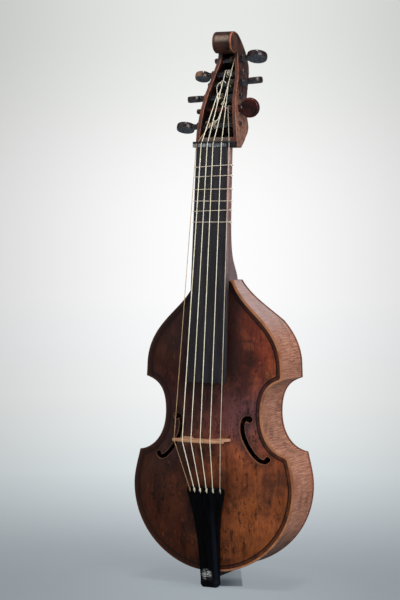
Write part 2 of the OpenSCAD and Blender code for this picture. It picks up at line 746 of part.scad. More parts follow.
// Strings, and the turns of each that ride on its peg
module string(i) on_body() color(gut) tube(string_path(i), string_d[i] / 2, [1, 0, 0]);
module string_1() string(0);
module string_2() string(1);
module string_3() string(2);
module string_4() string(3);
module string_5() string(4);
module string_6() string(5);
module winding(i) on_body() color(gut) tube(winding_path(i), string_d[i] / 2, [1, 0, 0]);
module winding_1() winding(0);
module winding_2() winding(1);
module winding_3() winding(2);
module winding_4() winding(3);
module winding_5() winding(4);
module winding_6() winding(5);

// Bridge, as [distance from its middle, y]
bridge_t = 3.4;
bridge_half_w = 33;
bridge_steps = 12;
foot_out = 31;
foot_in = 17;
foot_steps = 3;
bridge_side = [[33.4, -36.6], [28, -31], [26, -25], [28, -18.5], [foot_out, -15.5]];
bridge_arch = [[foot_in, -18.5], [14, -22.5], [8, -26], [0, -27]];
bridge_eye_r = 3.4;
bridge_eye_y = -34;
function belly_at(u) = -arch(bridge_x + u, bridge_z) - small;
function bridge_half() = concat(
    [for (k = [0:bridge_steps / 2])
        let (u = 2 * bridge_half_w * k / bridge_steps) [u, bridge_top_y(bridge_x + u) + rest_in]],
    bridge_side
);
function bridge_foot(side) = [for (k = [0:foot_steps])
    let (u = side * (foot_out + (foot_in - foot_out) * k / foot_steps)) [u, belly_at(u)]];
module bridge() on_body() color(bridge_wood) difference() {
    translate([bridge_x, 0, bridge_z - bridge_t / 2]) linear_extrude(height = bridge_t) polygon(concat(
        bridge_half(),
        bridge_foot(1),
        bridge_arch,
        mirrored(backwards(part_of(bridge_arch, 0, len(bridge_arch) - 2))),
        backwards(bridge_foot(-1)),
        mirrored(backwards(part_of(bridge_half(), 1, len(bridge_half()) - 1)))
    ));
    translate([bridge_x, bridge_eye_y, bridge_z - bridge_t]) cylinder(h = 2 * bridge_t, r = bridge_eye_r);
}

// Tailpiece, with the slot that its hook passes through, and the hook bar
function tail_ring(z) =
    let (w = smooth_at(tail_w, z))
    concat(
        [for (k = [0:tail_across]) let (x = w * (2 * k / tail_across - 1)) [x, tail_front(x, z), z]],
        [[w, smooth_at(tail_y, z) + tail_t, z], [-w, smooth_at(tail_y, z) + tail_t, z]]
    );
foot_front = -7.6;
foot_back = 5;
foot_chamfer = 3;
foot_spread = 0.6;
slot_back = -0.6;
module tailpiece() on_body() color(ebony) difference() {
    union() {
        loft([for (z = tail_stations) tail_ring(z)]);
        slab(foot_front, foot_back) polygon([
            [-foot_half_w + foot_chamfer, -tail_drop], [foot_half_w - foot_chamfer, -tail_drop],
            [foot_half_w, foot_chamfer - tail_drop], [foot_half_w + foot_spread, -foot_top],
            [-foot_half_w - foot_spread, -foot_top], [-foot_half_w, foot_chamfer - tail_drop]
        ]);
    }
    translate([-tongue_w / 2, foot_front - past, -tongue_low - small])
        cube([tongue_w, slot_back - foot_front + past, tongue_low - tongue_high + 2 * small]);
}
hook_bar_w = 11;
hook_bar_y = 0.5;
hook_bar_len = 52;
tongue_front = -6.9;
tongue_back = 6.7;
// The tongue laps 1 mm up into the bar
tongue_side = [
    [tongue_front, -tongue_low], [tongue_back, -tongue_low], [tongue_back, past - tongue_high],
    [hook_bar_y, past - tongue_high], [hook_bar_y, -tongue_high], [tongue_front, -tongue_high]
];
module hook_bar() on_body() color(ebony) union() {
    translate([-hook_bar_w, hook_bar_y, -tongue_high])
        cube([2 * hook_bar_w, hook_bar_len, tongue_high - small]);
    side_slab(small - tongue_w / 2, tongue_w / 2 - small) polygon(tongue_side);
}

belly();
purfling();
back();
rib_upper_left();
rib_upper_right();
rib_middle_left();
rib_middle_right();
rib_lower_left();
rib_lower_right();
top_block();
tail_block();
corner_block_lower_left();
corner_block_lower_right();
corner_block_upper_left();
corner_block_upper_right();
belly_linings();
back_linings();
bass_bar();
sound_post();
sound_post_plate();
fold_brace();
neck();
head();
fingerboard();
nut();
bridge();
tailpiece();
hook_bar();
fret_1();
fret_2();
fret_3();
fret_4();
fret_5();
fret_6();
peg_1();
peg_2();
peg_3();
peg_4();
peg_5();
peg_6();
winding_1();
winding_2();
winding_3();
winding_4();
winding_5();
winding_6();
string_1();
string_2();
string_3();
string_4();
string_5();
string_6();
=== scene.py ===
# %% [markdown]
# # A small viola da gamba
# This lesson finishes an old six-string viol for a render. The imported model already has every
# part at its real size. Here each part that shows gets a detailed mesh and a finish: worn varnish
# on the belly, flamed maple on the ribs, polished black wood, twisted gut. The first cell loads
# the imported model, which nothing below moves or resizes.

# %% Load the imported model
import json
import math

import bmesh
import bpy
from mathutils import Matrix, Vector
from mathutils.geometry import interpolate_bezier
from mathutils.kdtree import KDTree


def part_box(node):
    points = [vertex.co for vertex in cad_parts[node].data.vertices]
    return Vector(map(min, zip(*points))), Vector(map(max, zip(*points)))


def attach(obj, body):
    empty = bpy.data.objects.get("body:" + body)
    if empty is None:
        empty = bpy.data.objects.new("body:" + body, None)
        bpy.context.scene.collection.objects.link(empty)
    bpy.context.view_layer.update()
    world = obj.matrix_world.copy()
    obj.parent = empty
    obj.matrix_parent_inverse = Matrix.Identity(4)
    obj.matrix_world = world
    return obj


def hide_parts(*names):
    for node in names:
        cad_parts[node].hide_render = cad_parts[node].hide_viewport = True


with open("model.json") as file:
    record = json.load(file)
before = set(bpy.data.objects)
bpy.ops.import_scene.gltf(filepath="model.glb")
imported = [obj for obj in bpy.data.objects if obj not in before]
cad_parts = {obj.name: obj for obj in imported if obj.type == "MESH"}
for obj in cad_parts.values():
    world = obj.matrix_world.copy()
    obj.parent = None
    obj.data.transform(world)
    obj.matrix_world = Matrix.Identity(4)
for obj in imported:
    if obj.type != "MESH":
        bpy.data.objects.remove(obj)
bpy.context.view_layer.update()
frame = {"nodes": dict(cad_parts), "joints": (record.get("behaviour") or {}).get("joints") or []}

# %% [markdown]
# The viol is about two thirds of a metre tall, and the photograph was taken from two metres away,
# a little to its right. A long lens keeps the perspective gentle. The camera could be aimed with a
# constraint, but three plain turns, one after the other, are easier to read and to repeat. A small
# helper puts each new object into the scene.

# %% Camera at the photograph's angle
def linked(name, data):
    made = bpy.data.objects.new(name, data)
    bpy.context.scene.collection.objects.link(made)
    return made


CAMERA_PLACE = (0.8886, -1.9981, 0.4213)
CAMERA_AZIMUTH = 24.413
CAMERA_TILT = -2.013
CAMERA_ROLL = 0.434
camera_data = bpy.data.cameras.new("camera")
camera_data.sensor_width = 36
camera_data.lens = 109.8
camera = linked("camera", camera_data)
bpy.context.scene.camera = camera
camera.matrix_world = (
    Matrix.Translation(CAMERA_PLACE)
    @ Matrix.Rotation(math.radians(CAMERA_AZIMUTH), 4, "Z")
    @ Matrix.Rotation(math.radians(90 + CAMERA_TILT), 4, "X")
    @ Matrix.Rotation(math.radians(CAMERA_ROLL), 4, "Z")
)
bpy.context.scene.view_settings.view_transform = "Standard"
print("camera", tuple(round(v, 3) for v in camera.matrix_world.translation))

# %% [markdown]
# A shader is a small circuit. To keep each finish short, this helper adds a node, sets its values
# and plugs in whatever it is given in one call. Colours are written as hex, as a paint chart would,
# and turned into the linear values that the renderer works in. A finish is a list of layers. Each
# layer names its colour and then what it is limited by: a tuple is a span of some value, anything
# else is taken as it is, and all of them are multiplied into one mask.

# %% A helper that wires shader nodes
def paint(code):
    parts = [int(code[i:i + 2], 16) / 255 for i in (0, 2, 4)]
    linear = [p / 12.92 if p <= 0.04045 else ((p + 0.055) / 1.055) ** 2.4 for p in parts]
    return (*linear, 1)


class Wiring:
    def __init__(self, tree):
        self.tree = tree

    def plug(self, sockets, values):
        for name, value in values.items():
            if isinstance(value, bpy.types.NodeSocket):
                self.tree.links.new(value, sockets[name])
            else:
                sockets[name].default_value = value

    def add(self, kind, inputs=None, **settings):
        made = self.tree.nodes.new(kind)
        for name, value in settings.items():
            setattr(made, name, value)
        self.plug(made.inputs, inputs or {})
        return made

    def maths(self, operation, a, b=0.0):
        made = self.add("ShaderNodeMath", {0: a, 1: b}, operation=operation)
        return made.outputs[0]

    def both(self, a, b):
        return self.maths("MULTIPLY", a, b)

    def span(self, value, start, end, low=0.0, high=1.0):
        kind = {"Value": value, "From Min": start, "From Max": end, "To Min": low, "To Max": high}
        made = self.add("ShaderNodeMapRange", kind, interpolation_type="SMOOTHSTEP")
        return made.outputs[0]

    def mask(self, *limits):
        shares = [self.span(*limit) if isinstance(limit, tuple) else limit for limit in limits]
        made = shares[0]
        for share in shares[1:]:
            made = self.both(made, share)
        return made

    def blend(self, share, a, b):
        made = self.add("ShaderNodeMix", {0: share, 6: a, 7: b}, data_type="RGBA")
        return made.outputs[2]

    def over(self, colour, *layers):
        for tone, *limits in layers:
            if isinstance(tone, str):
                tone = paint(tone)
            colour = self.blend(self.mask(*limits), colour, tone)
        return colour

    def switch(self, share, first, second):
        return self.add("ShaderNodeMixShader", {0: share, 1: first.outputs[0], 2: second.outputs[0]})

    def stretched(self, vector, scale):
        return self.add("ShaderNodeMapping", {"Vector": vector, "Scale": scale}).outputs[0]

    def noise(self, vector, scale, detail=3.0, roughness=0.5):
        kind = {"Vector": vector, "Scale": scale, "Detail": detail, "Roughness": roughness}
        return self.add("ShaderNodeTexNoise", kind).outputs["Fac"]

    def parts(self, vector):
        return self.add("ShaderNodeSeparateXYZ", {0: vector}).outputs

    def place(self):
        return self.add("ShaderNodeTexCoord").outputs["Object"]

    def use(self, group, inputs):
        return self.add("ShaderNodeGroup", inputs, node_tree=group).outputs

    def cover(self, surface, colour, rough, height, bump, shine=0.5, coat=(0.0, 0.03)):
        raised = self.add("ShaderNodeBump", {"Strength": bump[0], "Distance": bump[1], "Height": height})
        self.plug(surface.inputs, {
            "Base Color": colour, "Roughness": rough, "Normal": raised.outputs[0],
            "Specular IOR Level": shine, "Coat Weight": coat[0], "Coat Roughness": coat[1]})


def new_group(name, inputs, outputs):
    tree = bpy.data.node_groups.new(name, "ShaderNodeTree")
    for label in inputs:
        kind = "NodeSocketVector" if label == "Vector" else "NodeSocketFloat"
        tree.interface.new_socket(label, in_out="INPUT", socket_type=kind)
    for label in outputs:
        tree.interface.new_socket(label, in_out="OUTPUT", socket_type="NodeSocketFloat")
    wires = Wiring(tree)
    return tree, wires, wires.add("NodeGroupInput").outputs, wires.add("NodeGroupOutput").inputs


def new_material(name):
    material = bpy.data.materials.new(name)
    material.use_nodes = True
    wires = Wiring(material.node_tree)
    return material, wires, material.node_tree.nodes["Principled BSDF"]


print("paint check", paint("808080")[0])

# %% [markdown]
# Four effects come back in several finishes, so each is built once as a node group. Grain is noise
# drawn out along the fibres. Flame is the rippled figure of maple, noise drawn out across the
# fibres. Grime gathers in soft blotches. Wear shows on convex edges, where hands and cases have
# rubbed: it reads the mesh's curvature, which only a dense mesh has.

# %% Node groups for grain, flame, grime and wear
def make_grain():
    tree, w, given, out = new_group("grain", ["Vector", "Scale"], ["Lines", "Fibre"])
    lines = w.noise(given["Vector"], given["Scale"], 2.0, 0.6)
    fibre = w.noise(given["Vector"], w.both(given["Scale"], 2.7), 4.0, 0.7)
    w.plug(out, {"Lines": w.span(lines, 0.35, 0.68), "Fibre": fibre})
    return tree


def make_flame():
    tree, w, given, out = new_group("flame", ["Vector", "Scale"], ["Bands"])
    wide = w.noise(given["Vector"], given["Scale"], 1.0, 0.5)
    fine = w.noise(given["Vector"], w.both(given["Scale"], 2.3), 2.0, 0.6)
    both = w.maths("ADD", w.both(wide, 0.65), w.both(fine, 0.35))
    w.plug(out, {"Bands": w.span(both, 0.38, 0.62)})
    return tree


def make_grime():
    tree, w, given, out = new_group("grime", ["Vector", "Scale", "Start", "End"], ["Mask"])
    cloud = w.noise(given["Vector"], given["Scale"], 6.0, 0.62)
    w.plug(out, {"Mask": w.span(cloud, given["Start"], given["End"])})
    return tree


def make_wear():
    tree, w, given, out = new_group("wear", ["Vector", "Curvature", "Start", "End"], ["Mask"])
    broken = w.noise(given["Vector"], 90.0, 5.0, 0.7)
    edge = (given["Curvature"], given["Start"], given["End"])
    w.plug(out, {"Mask": w.mask(edge, (broken, 0.3, 0.62))})
    return tree


GRAIN = make_grain()
FLAME = make_flame()
GRIME = make_grime()
WEAR = make_wear()


def grainy(w, place, stretch, scale):
    return w.use(GRAIN, {"Vector": w.stretched(place, stretch), "Scale": scale})


def grimy(w, vector, scale, start, end):
    return w.use(GRIME, {"Vector": vector, "Scale": scale, "Start": start, "End": end})["Mask"]


def worn_edges(w, place, start, end):
    bend = w.add("ShaderNodeNewGeometry").outputs["Pointiness"]
    return w.use(WEAR, {"Vector": place, "Curvature": bend, "Start": start, "End": end})["Mask"]


print("groups", [g.name for g in (GRAIN, FLAME, GRIME, WEAR)])

# %% [markdown]
# The studio is a wide floor that pales with distance and a plain grey-white background. A painted
# wall behind the viol would stand in the way of a camera that looks from the back, so the floor
# runs to the horizon and the world takes over there. Near the viol the floor takes real light, so
# that a faint shadow falls on it. Further off it turns into an even glow, which only the camera
# sees, and so it meets the background without a line. A wide beam from the front makes the middle
# brightest: it is worked out from the direction in which a point lies, so it runs on unbroken from
# the floor into the sky.

# %% Floor and background
FLOOR_RADIUS = 40
FLOOR_TONES = [
    (0.0, "a3acb2"), (0.2, "a2aab0"), (0.35, "aeb5ba"), (0.53, "bec5ca"), (0.75, "cdd4d7"),
    (1.1, "dee5e7"), (1.8, "ebefef"), (2.6, "f3f4f4"), (5.0, "f8f9fa"), (9.9, "fdfdfd")]
FLOOR_TONE_REACH = 10.0
FLOOR_GLOW = (0.2, 1.6, 0.7, 1.0)
BEAM_FROM = (0.89, -2.0, 0.42)
BEAM_ACROSS = (0.911, 0.413, 0)
BEAM_ALONG = (-0.413, 0.911, 0)
BEAM_ASIDE = 0.008
BEAM_FALL = 54
BEAM_LEAST = 0.5
BEAM_SPILL = 0.75
SHADE_ACROSS = (0.0385, 0.036)
SHADE_NEAR = (-0.001, 0.006)
SHADE_FAR = (0.13, 0.1)
SKY_LOW = paint("fdfdfd")
SKY_HIGH = paint("e6e8e5")
SKY_HIGH_AT = 0.125
LIGHT_LEVEL = 0.5
GLOSS_LEVEL = 0.12


def dot(w, vector, line):
    return w.add("ShaderNodeVectorMath", {0: vector, 1: line}, operation="DOT_PRODUCT").outputs["Value"]


def in_beam(w, toward, tone):
    off = w.maths("SUBTRACT", dot(w, toward, BEAM_ACROSS), BEAM_ASIDE)
    fade = w.maths("EXPONENT", w.both(w.both(off, off), -BEAM_FALL))
    aside = w.span(dot(w, toward, BEAM_ALONG), 0.98, 0.85, 0.0, BEAM_SPILL)
    fade = w.maths("MAXIMUM", fade, aside)
    share = w.maths("ADD", w.both(fade, 1 - BEAM_LEAST), BEAM_LEAST)
    return w.blend(share, paint("000000"), tone)


def shade_beside_foot(w, place):
    across = dot(w, place, BEAM_ACROSS)
    along = dot(w, place, BEAM_ALONG)
    sides = w.mask((across, 0.004, 0.01), (across, *SHADE_ACROSS))
    ends = w.mask((along, *SHADE_NEAR), (along, *SHADE_FAR))
    level = w.mask((along, 0.03, 0.07, 0.85, 0.5), (across, 0.012, 0.037, 1.0, 0.7))
    return w.mask(sides, ends, level)


def make_floor():
    bm = bmesh.new()
    bmesh.ops.create_circle(bm, cap_ends=True, segments=64, radius=FLOOR_RADIUS)
    mesh = bpy.data.meshes.new("floor")
    bm.to_mesh(mesh)
    bm.free()
    floor = linked("floor", mesh)
    material, w, surface = new_material("studio floor")
    place = w.place()
    distance = w.add("ShaderNodeVectorMath", {0: place}, operation="LENGTH").outputs["Value"]
    share = w.maths("DIVIDE", distance, FLOOR_TONE_REACH)
    ramp = w.add("ShaderNodeValToRGB", {"Fac": share})
    stops = ramp.color_ramp.elements
    while len(stops) < len(FLOOR_TONES):
        stops.new(0.5)
    for stop, (at, code) in zip(stops, FLOOR_TONES):
        stop.position = at / FLOOR_TONE_REACH
        stop.color = paint(code)
    away = w.add("ShaderNodeVectorMath", {0: place, 1: BEAM_FROM}, operation="SUBTRACT").outputs[0]
    toward = w.add("ShaderNodeVectorMath", {0: away}, operation="NORMALIZE").outputs[0]
    tone = in_beam(w, toward, ramp.outputs["Color"])
    tone = w.over(tone, ("1e2a38", shade_beside_foot(w, place)))
    w.plug(surface.inputs, {"Base Color": tone, "Roughness": 0.7, "Specular IOR Level": 0.1})
    rays = w.add("ShaderNodeLightPath").outputs
    glow = w.add("ShaderNodeEmission", {"Color": tone})
    far = w.both(rays["Is Camera Ray"], w.span(distance, *FLOOR_GLOW))
    gloss = w.add("ShaderNodeEmission", {"Color": ramp.outputs["Color"], "Strength": GLOSS_LEVEL})
    mixed = w.switch(rays["Is Glossy Ray"], w.switch(far, surface, glow), gloss)
    w.plug(w.tree.nodes["Material Output"].inputs, {"Surface": mixed.outputs[0]})
    mesh.materials.append(material)


def make_sky():
    world = bpy.data.worlds.new("studio")
    bpy.context.scene.world = world
    world.use_nodes = True
    w = Wiring(world.node_tree)
    w.tree.nodes.clear()
    toward = w.add("ShaderNodeTexCoord").outputs["Generated"]
    tone = w.blend(w.span(w.parts(toward)["Z"], 0.0, SKY_HIGH_AT), SKY_LOW, SKY_HIGH)
    tone = in_beam(w, toward, tone)
    seen = w.add("ShaderNodeBackground", {"Color": tone, "Strength": 1.0})
    light = w.add("ShaderNodeBackground", {"Color": paint("eef1f4"), "Strength": LIGHT_LEVEL})
    gloss = w.add("ShaderNodeBackground", {"Color": paint("dfe8f4"), "Strength": GLOSS_LEVEL})
    rays = w.add("ShaderNodeLightPath").outputs
    mixed = w.switch(rays["Is Camera Ray"], w.switch(rays["Is Glossy Ray"], light, gloss), seen)
    w.add("ShaderNodeOutputWorld", {"Surface": mixed.outputs[0]})


make_floor()
make_sky()
print("floor radius", FLOOR_RADIUS, "light level", LIGHT_LEVEL)

# %% [markdown]
# Three broad, soft lamps light the viol. The key stands to the right, so the ribs glow and the left
# half of the arched belly falls into shade. A weaker one on the left opens the shadows, and one
# high above puts a short shadow under the body. Sun lamps with a wide angle act like very large
# soft boxes, and light the floor evenly.

# %% Lamps
LAMPS = [
    ("key", (1.0, -0.7, 0.45), 1.75, 40),
    ("fill", (-0.75, -0.8, 0.6), 0.4, 70),
    ("top", (0.1, -0.15, 1.0), 1.2, 14),
]
for lamp_name, place, strength, angle in LAMPS:
    lamp_data = bpy.data.lights.new(lamp_name, "SUN")
    lamp_data.energy = strength
    lamp_data.angle = math.radians(angle)
    lamp = linked(lamp_name, lamp_data)
    lamp.matrix_world = Vector(place).to_track_quat("Z", "Y").to_matrix().to_4x4()
    print("lamp", lamp_name, strength)

# %% [markdown]
# The belly is old spruce under dark red-brown varnish. It is warmer and more orange towards the
# lower right, painted nearly black beside the fingerboard as the board's shadow, with a painted
# sheen at the waist, darker again in its margin, and rubbed pale on the very edge. Each of these is
# a layer, and the layers are laid over one another as a restorer would describe them. Some read
# attributes that the belly's mesh carries: the distance to its own edge, and the distance to the
# sound holes.

# %% Belly varnish
def belly_varnish():
    material, w, surface = new_material("belly varnish")
    place = w.place()
    x, _, z = w.parts(place)
    rim, hole = (w.add("ShaderNodeAttribute", attribute_name=name).outputs["Fac"] for name in ("rim", "hole"))
    cloud = w.noise(place, 13.0, 4.0, 0.6)
    patch = w.noise(place, 34.0, 7.0, 0.68)
    drift = w.both(w.maths("SUBTRACT", cloud, 0.5), 0.3)
    warmth = w.span(w.maths("ADD", x, drift), -0.042, 0.076)
    lower = w.span(z, 0.25, 0.09)
    deep = w.blend(lower, paint("38150d"), paint("431d0b"))
    warm = w.blend(lower, paint("80341f"), paint("85461f"))
    streaks = w.noise(w.stretched(place, (1, 1, 0.16)), 75.0, 6.0, 0.7)
    scuffs = w.noise(w.stretched(place, (2.2, 1, 0.5)), 120.0, 4.0, 0.75)
    grain = grainy(w, place, (1, 1, 0.03), 640.0)["Lines"]
    grime = grimy(w, w.stretched(place, (1, 1, 0.7)), 30.0, 0.49, 0.62)
    ragged = grimy(w, w.stretched(place, (1.5, 1, 0.6)), 130.0, 0.55, 0.66)
    specks = grimy(w, w.stretched(place, (1.4, 1, 0.8)), 300.0, 0.58, 0.63)
    cloudy = grimy(w, w.stretched(place, (0.7, 1, 1.3)), 24.0, 0.5, 0.6)
    middle = w.maths("ABSOLUTE", x)
    right = w.span(x, -0.03, 0.03)
    tight = w.mask((rim, 7.4, 5.4, 0.0, 0.8), right)
    wide = w.mask((rim, 17.0, 2.0, 0.0, 0.75), w.maths("SUBTRACT", 1.0, right))
    margin = w.maths("MAXIMUM", tight, wide)
    # Partly the varnish's own purple-brown and partly a painted sheen: the waist turns purple-grey, most on
    # the right.
    waist = ("633f44", (z, 0.15, 0.2), (z, 0.27, 0.22), (warmth, 0.0, 1.0, 0.2, 0.8))
    upper_right = ("8c2f1f", (z, 0.24, 0.3), (x, 0.02, 0.05), (cloud, 0.42, 0.6), 0.7)
    glow = ("a5562c", (patch, 0.46, 0.68), (warmth, 0.0, 1.0, 0.08, 0.75))
    # Painted shadow: the belly beside the fingerboard is painted nearly black for the board's shade.
    board_shadow = ("120a0a", (middle, 0.05, 0.026), (z, 0.19, 0.27), 0.85)
    blotches = ("2a120f", cloudy, (z, 0.24, 0.27), (x, 0.015, 0.03), 0.65)
    round_hole = ("1a0c0b", (hole, 9.0, 1.0), (patch, 0.3, 0.6, 0.2, 0.6))
    rubbed_edge = ("ac7350", (rim, 2.9, 1.9), (patch, 0.35, 0.55, 0.4, 0.95), (right, 0.2, 1.0, 0.06, 1.0))
    hole_lip = ("8a5a40", (hole, 0.7, 0.1), (patch, 0.4, 0.55, 0.2, 0.75))
    colour = w.over(
        w.blend(warmth, deep, warm), waist, upper_right, glow,
        ("2c0f08", (streaks, 0.48, 0.7, 0.0, 0.6)),
        ("2c130b", grain, 0.25),
        ("250c07", grime, 0.62),
        ("1d0905", ragged, (cloud, 0.35, 0.6, 0.2, 0.85)),
        ("120503", specks, (cloud, 0.45, 0.6, 0.2, 0.95)),
        ("ac6c42", (scuffs, 0.6, 0.74), 0.45),
        board_shadow, blotches,
        ("180805", margin, (patch, 0.3, 0.6, 0.35, 0.95)),
        round_hole, rubbed_edge, hole_lip)
    rough = w.maths("ADD", w.span(patch, 0.3, 0.7, 0.32, 0.5), w.both(grime, 0.16))
    height = w.maths("ADD", w.both(grain, 0.5), w.both(patch, 0.8))
    w.cover(surface, colour, rough, height, bump=(0.3, 0.0005), shine=0.25, coat=(0.08, 0.2))
    return material


BELLY = belly_varnish()
print(BELLY.name, len(BELLY.node_tree.nodes), "nodes")

# %% [markdown]
# The ribs, back and neck are maple, whose fibres ripple: the flame shows as fine bands across the
# strip. Noise that hardly changes from front to back and changes quickly round the outline gives
# just that. On the back and neck the bands run from side to side instead, so the same recipe takes
# the direction as a scale. The marks of a single part are further layers, laid on top.

# %% Flamed maple
def flamed_maple(name, bands, light, dark, grime_share, marks=None):
    material, w, surface = new_material(name)
    place = w.place()
    flame = w.use(FLAME, {"Vector": w.stretched(place, bands), "Scale": 1.0})["Bands"]
    cloud = w.noise(place, 20.0, 4.0, 0.6)
    patch = w.noise(place, 70.0, 6.0, 0.65)
    colour = w.over(
        paint(light), (dark, flame),
        ("9a5f48", (cloud, 0.35, 0.7, 0.0, 0.6)),
        ("6e4232", (patch, 0.5, 0.72, 0.0, 0.4)),
        ("553226", grimy(w, place, 45.0, 0.5, 0.7), grime_share),
        ("351b13", grimy(w, place, 300.0, 0.6, 0.68), 0.6),
        *(marks(w.parts(place)["Z"], patch) if marks else []))
    rough = w.span(patch, 0.3, 0.7, 0.36, 0.52)
    height = w.maths("ADD", w.both(flame, 0.4), w.both(patch, 0.6))
    w.cover(surface, colour, rough, height, bump=(0.2, 0.0003), shine=0.4, coat=(0.1, 0.25))
    return material


def rib_marks(z, patch):
    # Painted shade: the ribs turn darker and greyer towards the bottom, where the body shades them.
    dust_and_shade = ("4e3f3c", (z, 0.085, 0.03, 0.0, 0.75))
    # Painted highlight: the upper ribs are painted pale grey where their gloss catches the light.
    wear_and_sheen = ("b3a2a2", (z, 0.29, 0.345, 0.0, 0.75), (patch, 0.3, 0.6, 0.5, 1.0))
    return [dust_and_shade, wear_and_sheen]


def neck_marks(z, patch):
    return [("6d6065", (z, 0.47, 0.42), (patch, 0.3, 0.6, 0.4, 0.9))]


RIBS = flamed_maple("rib maple", (1500, 40, 1500), "cb9379", "8c5945", 0.5, rib_marks)
BACK = flamed_maple("back maple", (25, 40, 330), "845341", "5c3628", 0.6)
print(RIBS.name, BACK.name)

# %% [markdown]
# The head is the same maple, but nearly black-brown with handling, and every edge that hands meet
# is rubbed back to orange wood. Its pegbox is painted near black inside as shade, and a pale band on
# the roll is a painted sheen. The neck has lost its varnish to the player's thumb, so it is paler
# and pinker. Pegs are a dark fruitwood with a higher polish. Their undersides carry a painted cool
# reflection of the pale floor, one has a rim worn down to tan wood, and one has kept a red stain.

# %% Head, neck and peg wood
PEGBOX_FRONT = 0.0045
FRONT_LEAN = 0.6
FRONT_SHIFT = -0.3404


def handled_wood(name, base, deep, worn, gloss=0.3, marks=None):
    material, w, surface = new_material(name)
    place = w.place()
    normal = w.add("ShaderNodeNewGeometry").outputs["Normal"]
    cloud = w.noise(place, 45.0, 5.0, 0.6)
    patch = w.noise(place, 160.0, 5.0, 0.65)
    grain = grainy(w, place, (1, 1, 0.06), 420.0)
    colour = w.over(
        paint(deep), (base, (cloud, 0.38, 0.62)), (deep, grain["Lines"], 0.35),
        *(marks(w, place, normal, patch) if marks else []),
        (worn, worn_edges(w, place, 0.507, 0.55)))
    rough = w.span(patch, 0.3, 0.7, gloss - 0.04, gloss + 0.12)
    height = w.maths("ADD", w.both(grain["Fibre"], 0.4), w.both(patch, 0.6))
    w.cover(surface, colour, rough, height, bump=(0.3, 0.0004), coat=(0.3, 0.2))
    return material


def head_marks(w, place, normal, patch):
    x, y, z = w.parts(place)
    facing = w.parts(normal)
    stain = w.noise(w.stretched(place, (1, 1, 0.5)), 75.0, 5.0, 0.7)
    outer = w.span(w.both(x, facing["X"]), 0.002, 0.008)
    high = w.span(z, 0.6, 0.645)
    leaning = w.maths("ADD", w.both(z, FRONT_LEAN), FRONT_SHIFT)
    depth = w.maths("SUBTRACT", y, w.maths("MAXIMUM", PEGBOX_FRONT, leaning))
    out = w.maths("ABSOLUTE", x)
    side = ("8a5238", outer, (stain, 0.46, 0.6), (high, 0.0, 1.0, 0.75, 0.3))
    pale_side = ("a3745f", outer, (z, 0.6, 0.57), (patch, 0.35, 0.6, 0.2, 0.7))
    inward = w.mask((outer, 1.0, 0.0), (facing["Y"], 0.4, 0.0))
    # Painted shade: the pegbox's inner walls, deep behind its front, are painted near black.
    pegbox_shade = ("0c0707", (depth, 0.0035, 0.008), inward, (z, 0.643, 0.638), 0.9)
    rims = w.mask((facing["Y"], -0.35, -0.7), (z, 0.645, 0.62), (stain, 0.4, 0.6, 0.25, 0.9))
    front = ("683425", rims, (depth, 0.008, 0.0035))
    end = w.mask((x, 0.0098, 0.0108), (z, 0.642, 0.646), (facing["X"], 0.95, 0.85), (y, 0.032, 0.02))
    roll_end = ("a95f36", end, (patch, 0.35, 0.55, 0.45, 0.95))
    # Painted highlight: a pale greyish band across the upper middle of the roll stands for its sheen.
    roll_sheen = w.mask((z, 0.6525, 0.657), (z, 0.6625, 0.659), (y, 0.03, 0.022), (out, 0.0105, 0.007))
    band = ("9c8474", roll_sheen, (patch, 0.35, 0.6, 0.35, 0.85))
    shelf = ("6b665e", (z, 0.5405, 0.539), (out, 0.0195, 0.0185), (patch, 0.35, 0.6, 0.35, 0.8))
    return [side, pale_side, pegbox_shade, front, roll_end, band, shelf]


# Painted reflection: undersides turn blue-grey, standing for the pale floor mirrored in them.
def floor_reflection_below(w, place, normal, patch):
    return [("59636d", (w.parts(normal)["Z"], 0.1, -0.75), (patch, 0.3, 0.6, 0.35, 0.8))]


def tan_rim(w, place, normal, patch):
    x, upward = w.parts(place)["X"], w.parts(normal)["Z"]
    wear_and_sheen = ("8a6448", (x, -0.03, -0.036), (upward, -0.5, -0.2), (patch, 0.35, 0.6, 0.6, 0.95))
    return [*floor_reflection_below(w, place, normal, patch), wear_and_sheen]


HEAD = handled_wood("head maple", "4b291f", "1b0e0b", "96532f", marks=head_marks)
NECK = flamed_maple("neck maple", (30, 30, 420), "a57f79", "7f5a53", 0.5, neck_marks)
PEG = handled_wood("peg wood", "2a1c1c", "120d0f", "4e2e26", 0.24, floor_reflection_below)
TAN_PEG = handled_wood("peg wood with a worn rim", "2e1d1c", "120d0f", "8f6245", 0.24, tan_rim)
RED_PEG = handled_wood("red stained peg wood", "4d140e", "1c0605", "6e2c1c", 0.22)
print(HEAD.name, NECK.name, PEG.name, TAN_PEG.name, RED_PEG.name)

# %% [markdown]
# The fingerboard, nut, tailpiece and hook bar are black wood with a cool sheen. Long faint streaks
# follow the fibres, the gloss is patchy where fingers have polished it, and edges show a hint of
# grey. Three pieces have marks of their own: the board is a black veneer that has worn off the
# maple at its right edge, the nut's top carries a painted grey highlight, and the tail's foot has a
# pale spot and a painted bluish sheen down its right side.

# %% Black wood
PALE_SPOT_PLACE = (-0.0035, -0.0075, 0.0155)
BOARD_TAPER = 0.0106


def black_wood(name, dark, light, marks=None, gloss=0.5):
    material, w, surface = new_material(name)
    place = w.place()
    streaks = w.noise(w.stretched(place, (1, 1, 0.04)), 300.0, 4.0, 0.6)
    patch = w.noise(place, 60.0, 5.0, 0.65)
    colour = w.over(
        paint(dark), (light, (streaks, 0.35, 0.7)), ("5c5558", worn_edges(w, place, 0.52, 0.6), 0.5),
        *(marks(w, place, patch) if marks else []))
    rough = w.span(patch, 0.3, 0.7, 0.3, 0.46)
    w.cover(surface, colour, rough, streaks, bump=(0.2, 0.0002), shine=gloss)
    return material


